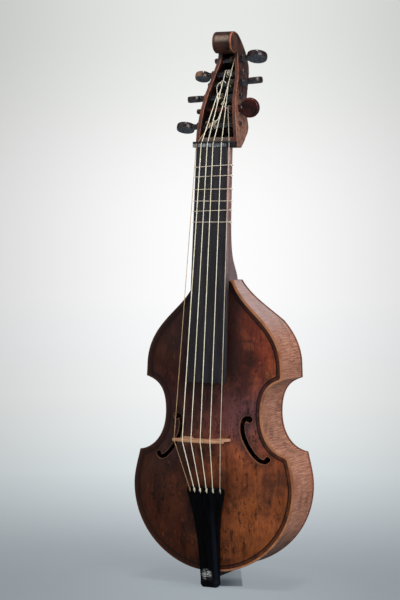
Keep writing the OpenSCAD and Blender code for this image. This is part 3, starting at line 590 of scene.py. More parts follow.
def foot_spot_and_sheen(w, place, patch):
    x, _, z = w.parts(place)
    away = w.add("ShaderNodeVectorMath", {0: place, 1: PALE_SPOT_PLACE}, operation="DISTANCE").outputs["Value"]
    ragged = w.noise(w.stretched(place, (0.6, 1, 2.2)), 420.0, 5.0, 0.8)
    pale_spot = ("dcdad6", (away, 0.0085, 0.002), (ragged, 0.46, 0.58))
    # Painted highlight: a bluish sheen down the right side of the tail's lower half; above it, a pale spot on
    # the foot.
    sheen = ("12151f", (x, 0.004, 0.0085), (x, 0.0125, 0.0095), (z, 0.11, 0.05, 0.2, 1.0))
    return [pale_spot, sheen]


def bare_edge(w, place, patch):
    x, _, z = w.parts(place)
    outward = w.maths("ADD", x, w.both(z, BOARD_TAPER))
    tone = w.blend(w.span(patch, 0.35, 0.65), paint("85605e"), paint("ad857c"))
    tone = w.over(tone, ("5e5459", (z, 0.47, 0.42, 0.0, 0.65)))
    return [(tone, (outward, 0.0246, 0.0251), (z, 0.352, 0.385), 0.9)]


# Painted highlight: a broken grey strip along the nut's top, where light catches it.
def nut_highlight(w, place, patch):
    x, _, z = w.parts(place)
    wear_and_sheen = w.noise(w.stretched(place, (1, 1, 0.3)), 330.0, 2.0, 0.6)
    return [("8b9195", (z, 0.5312, 0.5304), (x, 0.019, 0.0175), (wear_and_sheen, 0.38, 0.6, 0.2, 0.95))]


BOARD_BLACK = black_wood("fingerboard black wood", "1a181d", "2a272e", bare_edge)
BLACK = black_wood("black wood", "0e0d10", "1a181c")
NUT_BLACK = black_wood("black wood of the nut", "0e0d10", "1a181c", nut_highlight)
TAIL_BLACK = black_wood("black wood with a scuff", "030304", "08080b", foot_spot_and_sheen, gloss=0.12)
print(BOARD_BLACK.name, BLACK.name, NUT_BLACK.name, TAIL_BLACK.name)

# %% [markdown]
# Gut is pale straw, twisted like thread, and darker where it has been handled. The windings on four
# pegs take a darker copy of it, a painted shade of the pegbox. The bridge is bare maple, and the
# wood inside the body is spruce grey with dust, which shows only through the sound holes. The
# inlay round the belly is a strip of dark stained wood.

# %% Gut, bridge maple, spruce and inlay
def gut(name, light, dark):
    material, w, surface = new_material(name)
    place = w.place()
    twist = w.noise(w.stretched(place, (1, 1, 0.35)), 1500.0, 2.0, 0.6)
    handled = w.noise(place, 60.0, 3.0, 0.6)
    colour = w.over(paint(light), (dark, (handled, 0.35, 0.7)), ("8d7a52", (twist, 0.45, 0.7, 0.0, 0.35)))
    w.cover(surface, colour, 0.38, twist, bump=(0.3, 0.0001))
    return material


def bare_wood(name, light, dark, grain_scale, stretch):
    material, w, surface = new_material(name)
    place = w.place()
    grain = grainy(w, place, stretch, grain_scale)
    cloud = w.noise(place, 80.0, 4.0, 0.6)
    colour = w.over(paint(light), (dark, grain["Lines"], 0.7), (dark, (cloud, 0.4, 0.75, 0.0, 0.5)))
    w.cover(surface, colour, 0.6, grain["Fibre"], bump=(0.25, 0.0002), shine=0.3)
    return material


GUT = gut("gut", "fcf4de", "e6d9b8")
OLD_GUT = gut("old gut", "c3a17a", "96744f")
FRET_GUT = gut("fret gut", "d8ccb9", "b3a28a")
# A darker copy of the gut: painted shade for the windings inside the pegbox.
SHADED_GUT = gut("dark gut", "5f4d38", "3d3124")
BRIDGE = bare_wood("bridge maple", "bd906e", "8f6347", 500.0, (0.06, 1, 1))
SPRUCE = bare_wood("dusty spruce", "3c2c1e", "261b12", 500.0, (1, 1, 0.05))
INLAY = bare_wood("inlay wood", "160a07", "0c0504", 300.0, (1, 1, 1))
print([m.name for m in (GUT, OLD_GUT, FRET_GUT, SHADED_GUT, BRIDGE, SPRUCE, INLAY)])

# %% [markdown]
# Every piece is finished the same way: its mesh goes into an object at the origin, faces are
# smoothed up to a chosen crease angle, and it rides on the body that its part belongs to. Pieces
# that are round all over take a wide angle. The names of the parts that a piece stands for are
# given too, so that the plain ones are hidden.

# %% Helpers that finish a piece
MM = 0.001
BODY_LOW = 19
ROUND_CREASE = 80


def at(x, y, z):
    return Vector((x * MM, y * MM, (z + BODY_LOW) * MM))


def mesh_of(bm, name="mesh"):
    bmesh.ops.recalc_face_normals(bm, faces=bm.faces)
    mesh = bpy.data.meshes.new(name)
    bm.to_mesh(mesh)
    bm.free()
    return mesh


def finish_piece(name, mesh, material, nodes, body="root", crease=35):
    piece = linked(name, mesh)
    mesh.materials.clear()
    mesh.materials.append(material)
    mesh.shade_smooth()
    mesh.set_sharp_from_angle(angle=math.radians(crease))
    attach(piece, body)
    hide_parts(*nodes)
    print(name, len(mesh.polygons), "faces")
    return piece


def merged_copy(node):
    bm = bmesh.new()
    bm.from_mesh(frame["nodes"][node].data)
    bmesh.ops.remove_doubles(bm, verts=bm.verts, dist=2e-6)
    return bm


def with_modifier(mesh, kind, **settings):
    holder = linked("working copy", mesh)
    modifier = holder.modifiers.new(kind, kind)
    for key, value in settings.items():
        setattr(modifier, key, value)
    bpy.context.view_layer.update()
    shown = holder.evaluated_get(bpy.context.evaluated_depsgraph_get())
    made = bpy.data.meshes.new_from_object(shown)
    bpy.data.objects.remove(holder)
    return made


print("the body's lower edge is", BODY_LOW, "mm above the floor")

# %% [markdown]
# The plates and the ribs share one outline: an upper bout, a waist and a lower bout that meet at
# sharp corners. It is drawn as Bezier curves through the same few points as the part itself. A
# second helper draws a smooth line through chosen points, for the sound holes and the gut. A third
# moves a run of points sideways by a set distance, with mitred corners, which gives the ribs their
# place just inside the plates' edge.

# %% Outline of the body
LOWER_CORNER = Vector((96.8, 142.2))
UPPER_CORNER = Vector((88.6, 232.1))
WAIST = Vector((62.5, 190.8))
LOWER_MAX = Vector((104.5, 101))
SHOULDER = Vector((88, 244))
NECK_JOINT = Vector((25, 350))
BELLY_T = 3


def curve(a, b, c, d, count):
    handles = [Vector((*p, 0)) for p in (a, b, c, d)]
    return [Vector(p[:2]) for p in interpolate_bezier(*handles, count + 1)[1:]]


def soft_path(points, count=6):
    padded = [Vector(p) for p in (points[0], *points, points[-1])]
    made = [padded[0]]
    for before, start, end, after in zip(padded, padded[1:], padded[2:], padded[3:]):
        handles = (start, start + (end - before) / 6, end - (after - start) / 6, end)
        made += interpolate_bezier(*handles, count + 1)[1:]
    return made


BOTTOM = Vector((10, 0))
LOWER_RUN = [BOTTOM, *curve(BOTTOM, (52, 1.5), (104.5, 40), LOWER_MAX, 44)]
LOWER_RUN += curve(LOWER_MAX, LOWER_MAX + Vector((0, 15)), LOWER_CORNER + Vector((1.5, -8)), LOWER_CORNER, 14)
WAIST_RUN = curve(LOWER_CORNER, LOWER_CORNER + Vector((-21, 3)), WAIST - Vector((0, 27)), WAIST, 24)
WAIST_RUN += curve(WAIST, WAIST + Vector((0, 32)), UPPER_CORNER - Vector((11.5, 4)), UPPER_CORNER, 24)
UPPER_RUN = [SHOULDER.lerp(UPPER_CORNER, 0.5), SHOULDER]
UPPER_RUN += curve(SHOULDER, SHOULDER + Vector((0, 56)), NECK_JOINT + Vector((9.7, -36.4)), NECK_JOINT, 40)
RIGHT_HALF = LOWER_RUN + WAIST_RUN + UPPER_RUN
LOWER_END = len(LOWER_RUN) - 1
WAIST_END = LOWER_END + len(WAIST_RUN)


def mirrored(points):
    return [Vector((-p.x, p.y)) for p in reversed(points)]


def moved_in(points, distance):
    made = []
    last = len(points) - 1
    for i, point in enumerate(points):
        before = Vector((1, 0)) if i == 0 else (point - points[i - 1]).normalized()
        after = Vector((0, 1)) if i == last else (points[i + 1] - point).normalized()
        n1, n2 = (Vector((-d.y, d.x)) for d in (before, after))
        made.append(point + distance * (n1 + n2) / (1 + n1.dot(n2)))
    return made


OUTLINE = RIGHT_HALF + mirrored(RIGHT_HALF)
SPOTS = 8
edge_tree = KDTree(SPOTS * len(OUTLINE))
for i, point in enumerate(OUTLINE):
    following = OUTLINE[(i + 1) % len(OUTLINE)]
    for k in range(SPOTS):
        edge_tree.insert((*point.lerp(following, k / SPOTS), 0), SPOTS * i + k)
edge_tree.balance()
print("outline points", len(OUTLINE))

# %% [markdown]
# The arch rises 14 mm, highest near the bridge, and its cross-sections are full in the middle and
# flatten out towards the margin. Two short tables say how far it reaches and how high it stands up
# the body, and a smooth curve runs through each. The back is flat and folds forward at the top.

# %% Arch of the belly and fold of the back
ARCH_HEIGHT = 14
ARCH_FULLNESS = 1.4
ARCH_REACH = [
    (0, 1), (8, 6), (16, 38), (25, 55), (50, 80), (80, 93), (102, 95.5), (130, 84), (160, 61),
    (190, 54.5), (215, 57), (240, 72), (262, 75), (285, 63), (310, 43), (330, 25), (350, 16)]
ARCH_RISE = [
    (0, 0), (8, 0), (20, 0.26), (60, 0.72), (110, 0.94), (160, 1), (200, 0.97), (250, 0.8),
    (300, 0.48), (350, 0.2)]
DEPTH = 67.5
NECK_END_DEPTH = 28
BACK_T = 3
BODY_LENGTH = 350
FOLD_AT = 300


def slope_at(table, i):
    low, high = max(0, i - 1), min(len(table) - 1, i + 1)
    return (table[high][1] - table[low][1]) / (table[high][0] - table[low][0])


def smooth_at(table, x):
    i = 0
    while i < len(table) - 2 and x >= table[i + 1][0]:
        i += 1
    step = table[i + 1][0] - table[i][0]
    t = min(1, max(0, (x - table[i][0]) / step))
    rise = table[i + 1][1] - table[i][1]
    m0, m1 = slope_at(table, i) * step, slope_at(table, i + 1) * step
    return table[i][1] + t * (m0 + t * (3 * rise - 2 * m0 - m1 + t * (m0 + m1 - 2 * rise)))


def arch(x, z):
    u = abs(x) / smooth_at(ARCH_REACH, z)
    if u >= 1:
        return 0
    return ARCH_HEIGHT * max(0, smooth_at(ARCH_RISE, z)) * (1 - u * u) ** ARCH_FULLNESS


def back_at(z):
    cant = (DEPTH - NECK_END_DEPTH) / (BODY_LENGTH - FOLD_AT)
    return DEPTH - cant * max(0, z - FOLD_AT)


print("arch at the bridge", round(arch(0, 160), 2), "back at the neck", back_at(BODY_LENGTH))

# %% [markdown]
# Each sound hole is a C with a round eye at each end. A sculptor would draw the outline and cut it.
# Here a short function tells how far a point is from the hole's edge, negative inside the hole,
# and the sheet's own edges are split exactly where that distance is nought.

# %% Sound holes
HOLE_LINE = [
    (47.8, 186.5), (42.6, 185), (40.2, 179), (40.2, 172), (42.2, 163), (47.8, 152), (54.8, 142.6),
    (62.4, 136), (69, 134.6)]
HOLE_WIDTH = 6
HOLE_NARROWING = 0.5
HOLE_EYES = [(Vector((47.8, 184.6)), 4), (Vector((71, 137.6)), 3.8)]
FAR_FROM_HOLE = 25
FAR_ACROSS = 40
FAR_UP = 50
HOLE_PATH = [spot.xy for spot in soft_path([(*spot, 0) for spot in HOLE_LINE], 4)]
HOLE_CENTRE = HOLE_PATH[len(HOLE_PATH) // 2]


def from_hole(x, z):
    point = Vector((abs(x), z))
    if abs(z - HOLE_CENTRE.y) > FAR_UP or abs(point.x - HOLE_CENTRE.x) > FAR_ACROSS:
        return FAR_FROM_HOLE
    gaps = [(point - centre).length - radius for centre, radius in HOLE_EYES]
    last = len(HOLE_PATH) - 1
    for i in range(last):
        start, along = HOLE_PATH[i], HOLE_PATH[i + 1] - HOLE_PATH[i]
        share = min(1, max(0, (point - start).dot(along) / along.length_squared))
        half = HOLE_WIDTH / 2 - HOLE_NARROWING * (2 * (i + share) / last - 1) ** 2
        gaps.append((point - start - share * along).length - half)
    return min(gaps)


print("distance from the hole at the bridge's end", round(from_hole(30, 160), 1))

# %% [markdown]
# Belly and back start as one flat face with the body's outline. Three narrow insets near the edge
# will carry its rounding, then planes cut the rest into a fine grid. The sheet is doubled by an
# extrusion, and every point is pushed to its real depth by the arch or the fold. A sculpted
# subdivision surface would also do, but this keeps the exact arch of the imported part.

# %% Plates from a flat sheet
RIM_ROUND = 0.9
RIM_INSETS = [0.12, 0.3, 0.48]
COARSE_STEP = 4
FINE_STEP = 1.4
FINE_X = (36, 79)
FINE_Z = (128, 193)
WIDEST = 104.5


def steps(low, high, fine):
    spots = [low]
    while spots[-1] < high:
        inside = any(a <= spots[-1] < b for a, b in fine)
        spots.append(spots[-1] + (FINE_STEP if inside else COARSE_STEP))
    return spots[1:-1]


def flat_sheet():
    bm = bmesh.new()
    rim = bm.verts.layers.float.new("rim")
    middle = bm.faces.new([bm.verts.new((p.x, 0, p.y)) for p in OUTLINE])
    depth = 0
    for inset in RIM_INSETS:
        bmesh.ops.inset_region(bm, faces=[middle], thickness=inset, use_even_offset=True)
        depth += inset
        for vert in middle.verts:
            vert[rim] = depth
    across = [(-FINE_X[1], -FINE_X[0]), FINE_X]
    cuts = [(Vector((x, 0, 0)), Vector((1, 0, 0))) for x in steps(-WIDEST, WIDEST, across)]
    cuts += [(Vector((0, 0, z)), Vector((0, 0, 1))) for z in steps(0, BODY_LENGTH, [FINE_Z])]
    for spot, normal in cuts:
        everything = bm.verts[:] + bm.edges[:] + bm.faces[:]
        bmesh.ops.bisect_plane(bm, geom=everything, dist=1e-4, plane_co=spot, plane_no=normal)
    return bm, rim


def cut_holes(bm):
    gap = {vert: from_hole(vert.co.x, vert.co.z) for vert in bm.verts}
    cuts = []
    for edge in bm.edges[:]:
        a, b = edge.verts
        if gap[a] * gap[b] < 0:
            cuts.append(bmesh.utils.edge_split(edge, a, gap[a] / (gap[a] - gap[b]))[1])
    bmesh.ops.connect_verts(bm, verts=cuts)
    inside = []
    for face in bm.faces:
        middle = face.calc_center_median()
        if from_hole(middle.x, middle.z) < 0:
            inside.append(face)
    bmesh.ops.delete(bm, geom=inside, context="FACES")
    print("hole edge points", len(cuts))


def rounding(depth):
    return RIM_ROUND - math.sqrt(RIM_ROUND ** 2 - max(0, RIM_ROUND - depth) ** 2)


def plate(front, thickness, holes):
    bm, rim = flat_sheet()
    hole = bm.verts.layers.float.new("hole")
    if holes:
        cut_holes(bm)
    made = bmesh.ops.extrude_face_region(bm, geom=bm.faces[:])
    rear = {item for item in made["geom"] if isinstance(item, bmesh.types.BMVert)}
    for vert in bm.verts:
        x, z = vert.co.x, vert.co.z
        eased = rounding(min(vert[rim], RIM_ROUND))
        y = front(x, z) + (thickness - eased if vert in rear else eased)
        if vert[rim] > 0.99 * RIM_ROUND:
            vert[rim] = edge_tree.find((x, z, 0))[2]
        vert[hole] = max(0, from_hole(x, z)) if holes else FAR_FROM_HOLE
        vert.co = at(x, y, z)
    bmesh.ops.triangulate(bm, faces=[f for f in bm.faces if len(f.verts) > 4])
    return mesh_of(bm)


print("cuts across", len(steps(-WIDEST, WIDEST, [FINE_X])))

# %% [markdown]
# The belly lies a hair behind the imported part's front so that the inlay stands just proud of it.
# The back's front face is the inside of the body, so the fold is taken off by its thickness.

# %% Belly and back
INLAY_PROUD = 0.04
finish_piece(
    "belly_plate", plate(lambda x, z: INLAY_PROUD - arch(x, z), BELLY_T - INLAY_PROUD, True),
    BELLY, ["belly"])
finish_piece(
    "back_plate", plate(lambda x, z: back_at(z) - BACK_T, BACK_T, False), BACK, ["back"])

# %% [markdown]
# The inlay, a strip let into a groove round the belly, strengthens the edge against splits. It
# follows the outline 6 mm in. Where the mitres of a deep inset would cross at the corners, points
# are left out. The strip is a ring of faces bridged between two outlines and pressed back.

# %% Inlay
INLAY_IN = 6
INLAY_WIDTH = 1.4
INLAY_DEPTH = 1.2
MITRE_REACH = 1.3
NECK_MARGIN = 3


def deep_inset(distance):
    made = []
    for point, moved in zip(RIGHT_HALF, moved_in(RIGHT_HALF, distance)):
        gap = min((point - corner).length for corner in (LOWER_CORNER, UPPER_CORNER))
        clear = gap < 1e-3 or gap > MITRE_REACH * distance
        made.append(moved if clear and moved.y < BODY_LENGTH - NECK_MARGIN else None)
    return made


def inlay_mesh():
    bm = bmesh.new()
    pairs = [pair for pair in zip(deep_inset(INLAY_IN), deep_inset(INLAY_IN + INLAY_WIDTH)) if all(pair)]
    pairs += [tuple(Vector((-p.x, p.y)) for p in pair) for pair in reversed(pairs)]
    loops = []
    for ring in zip(*pairs):
        verts = [bm.verts.new(at(p.x, 0, p.y)) for p in ring]
        loops += [bm.edges.new(pair) for pair in zip(verts, verts[1:] + verts[:1])]
    faces = bmesh.ops.bridge_loops(bm, edges=loops)["faces"]
    made = bmesh.ops.extrude_face_region(bm, geom=faces)
    moved = [item for item in made["geom"] if isinstance(item, bmesh.types.BMVert)]
    bmesh.ops.translate(bm, verts=moved, vec=(0, INLAY_DEPTH * MM, 0))
    return mesh_of(bm)


finish_piece("belly_inlay", inlay_mesh(), INLAY, ["purfling"])

# %% [markdown]
# Each rib is a thin strip of maple bent hot round a mould and glued between the plates. A grid is
# the natural start: its columns are laid along the outline and its rows run from belly to back,
# where the last row follows the fold. Solidify then gives the strip its thickness inwards.

# %% Ribs
RIB_IN = 0.8
RIB_T = 1.8
RIB_ROWS = 14
LET_IN = 0.2


def shaped_grid(columns, rows, place):
    bm = bmesh.new()
    bmesh.ops.create_grid(bm, x_segments=columns, y_segments=rows, size=0.5)
    for vert in bm.verts:
        vert.co = place(vert.co.x + 0.5, vert.co.y + 0.5)
    bmesh.ops.remove_doubles(bm, verts=bm.verts, dist=1e-6)
    return bm


def along(points, share):
    spot = share * (len(points) - 1)
    i = min(int(spot), len(points) - 2)
    return points[i].lerp(points[i + 1], spot - i)


def rib(name, points, side):
    def place(u, v):
        point = along(points, u)
        front = BELLY_T - LET_IN
        rear = back_at(point.y) - BACK_T + LET_IN
        return at(side * point.x, front + v * (rear - front), point.y)

    bm = shaped_grid(len(points) - 1, RIB_ROWS, place)
    bmesh.ops.recalc_face_normals(bm, faces=bm.faces)
    out = sum(face.normal.x * side for face in bm.faces)
    if out < 0:
        bmesh.ops.reverse_faces(bm, faces=bm.faces)
    bmesh.ops.solidify(bm, geom=bm.faces[:], thickness=RIB_T * MM)
    finish_piece(name + "_strip", mesh_of(bm), RIBS, [name])


RIB_LINE = moved_in(RIGHT_HALF, RIB_IN)
RIB_RUNS = {
    "lower": [Vector((0, RIB_IN)), *RIB_LINE[:LOWER_END + 1]],
    "middle": RIB_LINE[LOWER_END:WAIST_END + 1],
    "upper": RIB_LINE[WAIST_END:],
}
for part_name, points in RIB_RUNS.items():
    rib(f"rib_{part_name}_right", points, 1)
    rib(f"rib_{part_name}_left", points, -1)

# %% [markdown]
# The neck is a half round of maple behind the fingerboard, thickening to a squarer heel where it
# meets the body. A closed grid is wrapped round it: most columns go round the back, and the rest
# close the flat side under the board. A table gives the depth and squareness up the neck.

# %% Neck
NUT_AT = 511
BOARD_FRONT = -8.5
BOARD_SLOPE = 0.0585
BOARD_THICK = 8.2
BOARD_HALF = 22
BOARD_END_HALF = 25
BOARD_END = 228
NECK_TOP = 507.5
CAMBER = 100
NECK_DEPTH = [
    (350, 37.6), (356, 36.6), (364, 32), (376, 25.5), (392, 20.5), (415, 17.4), (450, 16.4),
    (480, 15.6), (512, 15)]
HEEL_SQUARE = [(350, 5), (360, 4), (376, 2.8), (400, 2.2), (430, 2), (512, 2)]
ROUND_SHARE = 0.85
INTO_BODY = 0.7


def board_y(z):
    return BOARD_FRONT - BOARD_SLOPE * (NUT_AT - z)


def board_half(z):
    return BOARD_HALF + (BOARD_END_HALF - BOARD_HALF) * (NUT_AT - z) / (NUT_AT - BOARD_END)


def neck_round(share, z, grown=0):
    angle = math.pi * share
    power = 2 / smooth_at(HEEL_SQUARE, z)
    across = math.copysign(abs(math.cos(angle)) ** power, math.cos(angle))
    deep = max(0, math.sin(angle)) ** power
    y = board_y(z) + BOARD_THICK + (smooth_at(NECK_DEPTH, z) + grown) * deep
    return (board_half(z) + grown) * across, y


def neck_place(u, v):
    z = BODY_LENGTH - INTO_BODY + v * (NECK_TOP - BODY_LENGTH + INTO_BODY)
    if u <= ROUND_SHARE:
        x, y = neck_round(u / ROUND_SHARE, z)
        return at(x, y, z)
    half = board_half(z)
    return at(-half + 2 * half * (u - ROUND_SHARE) / (1 - ROUND_SHARE), board_y(z) + BOARD_THICK, z)


def closed_grid(columns, rows, place):
    bm = shaped_grid(columns, rows, place)
    bmesh.ops.holes_fill(bm, edges=[e for e in bm.edges if e.is_boundary], sides=0)
    return bm


finish_piece("neck_shaft", mesh_of(closed_grid(60, 70, neck_place)), NECK, ["neck"], crease=50)

# %% [markdown]
# The fingerboard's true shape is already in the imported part: a tapered slab with a round camber.
# Its flat triangles are dissolved into whole faces, and a bevel breaks the sharp edges, which on
# the real board are scraped round so that they don't hurt the hand.

# %% Fingerboard
EDGE_BREAK = 0.7
EDGE_ANGLE = math.radians(35)
FLAT_ANGLE = math.radians(0.4)


def eased_copy(node):
    bm = merged_copy(node)
    bmesh.ops.dissolve_limit(
        bm, angle_limit=FLAT_ANGLE, verts=bm.verts, edges=bm.edges, use_dissolve_boundaries=False)
    return with_modifier(
        mesh_of(bm), "BEVEL", width=EDGE_BREAK * MM, segments=3, affect="EDGES", profile=0.5,
        material=-1, limit_method="ANGLE", angle_limit=EDGE_ANGLE)


finish_piece("fingerboard_slab", eased_copy("fingerboard"), BOARD_BLACK, ["fingerboard"])

# %% [markdown]
# Carved pieces should look carved: no edge is knife sharp, and flats meet in soft curves. Each is
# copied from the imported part, given an even skin by a voxel remesh, and smoothed a few times. The
# even skin is also what the wear mask needs, because it reads curvature point by point.

# %% Carved pieces
def carved(bm, voxel, rounds, shape=None):
    mesh = with_modifier(mesh_of(bm), "REMESH", mode="VOXEL", voxel_size=voxel * MM)
    bm = bmesh.new()
    bm.from_mesh(mesh)
    for _ in range(rounds):
        bmesh.ops.smooth_vert(
            bm, verts=bm.verts, factor=0.5, use_axis_x=True, use_axis_y=True, use_axis_z=True)
    if shape:
        for vert in bm.verts:
            x, y, z = vert.co / MM
            vert.co = at(*shape(x, y, z - BODY_LOW))
    return mesh_of(bm)


def carve(node, material, voxel, rounds, shape=None, body="root"):
    mesh = carved(merged_copy(node), voxel, rounds, shape)
    finish_piece(f"{node}_carved", mesh, material, [node], body, ROUND_CREASE)


carve("hook_bar", BLACK, 0.7, 3)
carve("bridge", BRIDGE, 0.5, 2)

# %% [markdown]
# The nut holds the strings apart at the top of the board. A file cuts a shallow groove for each
# string, so points near a string are pressed back a little.

# %% Nut
NUT_X = [-21.3, -14.4, -6, 1.5, 12.1, 21.4]
NUT_CROWN = 1.4
GROOVE_HALF = 0.9
GROOVE_DEPTH = 0.5
NUT_SHARE = 0.95


def nut_top(x):
    return BOARD_FRONT - NUT_CROWN + x * x / (2 * CAMBER)


def grooved(x, y, z):
    near = min(abs(x - spot) for spot in NUT_X)
    if y < nut_top(x) + 1 and near < GROOVE_HALF:
        y += GROOVE_DEPTH * (1 - (near / GROOVE_HALF) ** 2)
    return (x * NUT_SHARE if abs(x) > NUT_X[-1] + 1 else x), y, z


carve("nut", NUT_BLACK, 0.5, 3, grooved)

# %% [markdown]
# The head is one carved block: two cheeks, a floor between them for the strings' ends, and a plain
# rolled scroll on top. The shallow spiral round a small eye, on each side of the roll, is an
# addition that the photograph doesn't show: carvers often finish even a plain scroll so. It is
# pressed in, so it stays inside the block.

# %% Head
ROLL_CENTRE = (28, 635)
ROLL_SIDE = 11.4
SPIRAL_PITCH = 5.4
SPIRAL_DEPTH = 0.45
SPIRAL_EYE = 2.2
SPIRAL_EDGE = 12


def with_spiral(x, y, z):
    out = Vector((y - ROLL_CENTRE[0], z - ROLL_CENTRE[1]))
    radius = out.length
    if abs(x) < ROLL_SIDE or not SPIRAL_EYE < radius < SPIRAL_EDGE:
        return x, y, z
    turn = math.atan2(out.y, out.x) / (2 * math.pi)
    wave = 0.5 + 0.5 * math.cos(2 * math.pi * (radius / SPIRAL_PITCH + turn))
    fade = min(1, radius - SPIRAL_EYE, SPIRAL_EDGE - radius)
    return x - math.copysign(SPIRAL_DEPTH * wave * fade, x), y, z


carve("head", HEAD, 0.75, 4, with_spiral)

# %% [markdown]
# Six pegs turn in the head. Each is a tapered shaft with a collar and a flat round grip, and rides
# on its own body, so it can be turned in a pose. The remesh leaves the grip's rim rounder than a
# turner would, so points on the rim are pushed out towards the corner of a squarer section.

# %% Pegs
STRINGS = range(1, 7)
PEG_WOOD = {3: TAN_PEG, 6: RED_PEG}
GRIP_R = [11, 9, 9.5, 12.5, 9, 12]
GRIP_TURN = [70, 95, 68, 70, 95, 8]
GRIP_HALF = 4
GRIP_ROUND = 2.4
SQUARENESS = 6
SHAFT_PLACE = {}
SHAFT_LINE = {}
for joint in frame["joints"]:
    if joint["name"].startswith("peg_turn"):
        number = int(joint["name"][-1])
        SHAFT_PLACE[number] = Vector(joint["pos_m"]) / MM - Vector((0, 0, BODY_LOW))
        SHAFT_LINE[number] = Vector(joint["axis"])


def grip_shape(i):
    low, high = (Vector(corner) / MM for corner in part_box(f"peg_{i}"))
    line = SHAFT_LINE[i]
    radius = GRIP_R[i - 1]
    reach = (low.x + radius if -low.x > high.x else high.x - radius) / line.x
    centre = SHAFT_PLACE[i] + reach * line
    turn = math.radians(GRIP_TURN[i - 1])
    through = Vector((0, math.cos(turn), 0)) + math.sin(turn) * Vector((-line.z, 0, line.x))

    def shape(x, y, z):
        off = Vector((x, y, z)) - centre
        deep = off.dot(through)
        flat = off - deep * through
        out, up = flat.length - (radius - GRIP_ROUND), abs(deep) - (GRIP_HALF - GRIP_ROUND)
        if out <= 0 or up <= 0 or flat.length > radius + 1 or abs(deep) > GRIP_HALF + 1:
            return x, y, z
        grow = math.hypot(out, up) / (out ** SQUARENESS + up ** SQUARENESS) ** (1 / SQUARENESS)
        moved = flat * ((radius - GRIP_ROUND + grow * out) / flat.length)
        moved += math.copysign(GRIP_HALF - GRIP_ROUND + grow * up, deep) * through
        return tuple(centre + moved)

    return shape


for i in STRINGS:
    carve(f"peg_{i}", PEG_WOOD.get(i, PEG), 0.45, 2, grip_shape(i), f"tuner_{i}")

# %% [markdown]
# The tailpiece anchors the strings at the bottom. It widens towards the top, is gently round across
# its front, and ends in a foot on which this viol stands. A closed grid gives the long part, a
# second one the foot, and the remesh grows them into one. The slot for the hook bar's tongue and
# the six string holes are then cut as they are cut in wood, by taking other solids away.

# %% Tailpiece
TAIL_X = [-20, -13.4, -5.4, 3, 11, 19.5]
TAIL_HOLE = 97
TAIL_HOLE_R = 0.9
TAIL_FRONT = [(-19, -7), (0, -8), (35, -13), (65, -18.4), (104, -25)]
TAIL_HALF = [(-19, 11.8), (5, 13), (35, 14.2), (65, 17.6), (85, 21.8), (97, 25), (102, 24.6), (104, 23)]
TAIL_T = 6
TAIL_CAMBER = 70
TAIL_LOW = -14
TAIL_TOP = 104
FOOT_OUTLINE = [(-19, 9), (-16, 11.7), (-12.4, 12)]
FOOT_FRONT = -7.4
FOOT_BACK = 0.5
TONGUE = (4.5, -12.05, -5.95)
TONGUE_BACK = -0.6


def tail_front(x, z):
    return smooth_at(TAIL_FRONT, z) + x * x / (2 * TAIL_CAMBER)


def round_box(u, half, front, back):
    corners = [(-half, None), (half, None), (half, back), (-half, back), (-half, None)]
    ends = [0, 0.5, 0.6, 0.9, 1]
    i = max(k for k in range(4) if u >= ends[k])
    share = (u - ends[i]) / (ends[i + 1] - ends[i])
    (x0, y0), (x1, y1) = corners[i], corners[i + 1]
    x = x0 + share * (x1 - x0)
    if y0 is None and y1 is None:
        return x, front(x)
    start = front(x0) if y0 is None else y0
    end = front(x1) if y1 is None else y1
    return x, start + share * (end - start)


def tail_place(u, v):
    z = TAIL_LOW + v * (TAIL_TOP - TAIL_LOW)
    rear = smooth_at(TAIL_FRONT, z) + TAIL_T
    return at(*round_box(u, smooth_at(TAIL_HALF, z), lambda x: tail_front(x, z), rear), z)


def foot_place(u, v):
    z = FOOT_OUTLINE[0][0] + v * (FOOT_OUTLINE[-1][0] - FOOT_OUTLINE[0][0])
    pairs = list(zip(FOOT_OUTLINE, FOOT_OUTLINE[1:]))
    (z0, w0), (z1, w1) = next((p for p in pairs if z <= p[1][0] + 1e-6), pairs[-1])
    x, y = round_box(u, w0 + (w1 - w0) * (z - z0) / (z1 - z0), lambda x: FOOT_FRONT, FOOT_BACK)
    return at(x, y, z)


def joined(*parts):
    bm = bmesh.new()
    for part in parts:
        bm.from_mesh(mesh_of(part))
    return bm


def cut_away(mesh, cutter):
    holder = linked("cutter", mesh_of(cutter))
    made = with_modifier(mesh, "BOOLEAN", operation="DIFFERENCE", solver="EXACT", object=holder)
    bpy.data.objects.remove(holder)
    return made


def tail_cutter():
    bm = bmesh.new()
    half, low, high = TONGUE
    depth = TONGUE_BACK - 2 * FOOT_FRONT
    middle = at(0, TONGUE_BACK - depth / 2, (low + high) / 2)
    size = Matrix.Diagonal((2 * half * MM, depth * MM, (high - low) * MM, 1))
    bmesh.ops.create_cube(bm, size=1, matrix=Matrix.Translation(middle) @ size)
    for x in TAIL_X:
        spot = Matrix.Translation(at(x, tail_front(x, TAIL_HOLE), TAIL_HOLE))
        bmesh.ops.create_cone(
            bm, cap_ends=True, segments=20, radius1=TAIL_HOLE_R * MM, radius2=TAIL_HOLE_R * MM,
            depth=3 * TAIL_T * MM, matrix=spot @ Matrix.Rotation(math.pi / 2, 4, "X"))
    return bm


tail_shell = joined(closed_grid(80, 90, tail_place), closed_grid(40, 12, foot_place))
tail_mesh = cut_away(carved(tail_shell, 0.7, 5), tail_cutter())
finish_piece("tailpiece_carved", tail_mesh, TAIL_BLACK, ["tailpiece"], crease=ROUND_CREASE)

# %% [markdown]
# Strings, windings and frets are gut. Each is a curve with a round section, turned into a mesh.
# The helper that smoothed the sound holes' line works in space too, so it shapes loose ends.

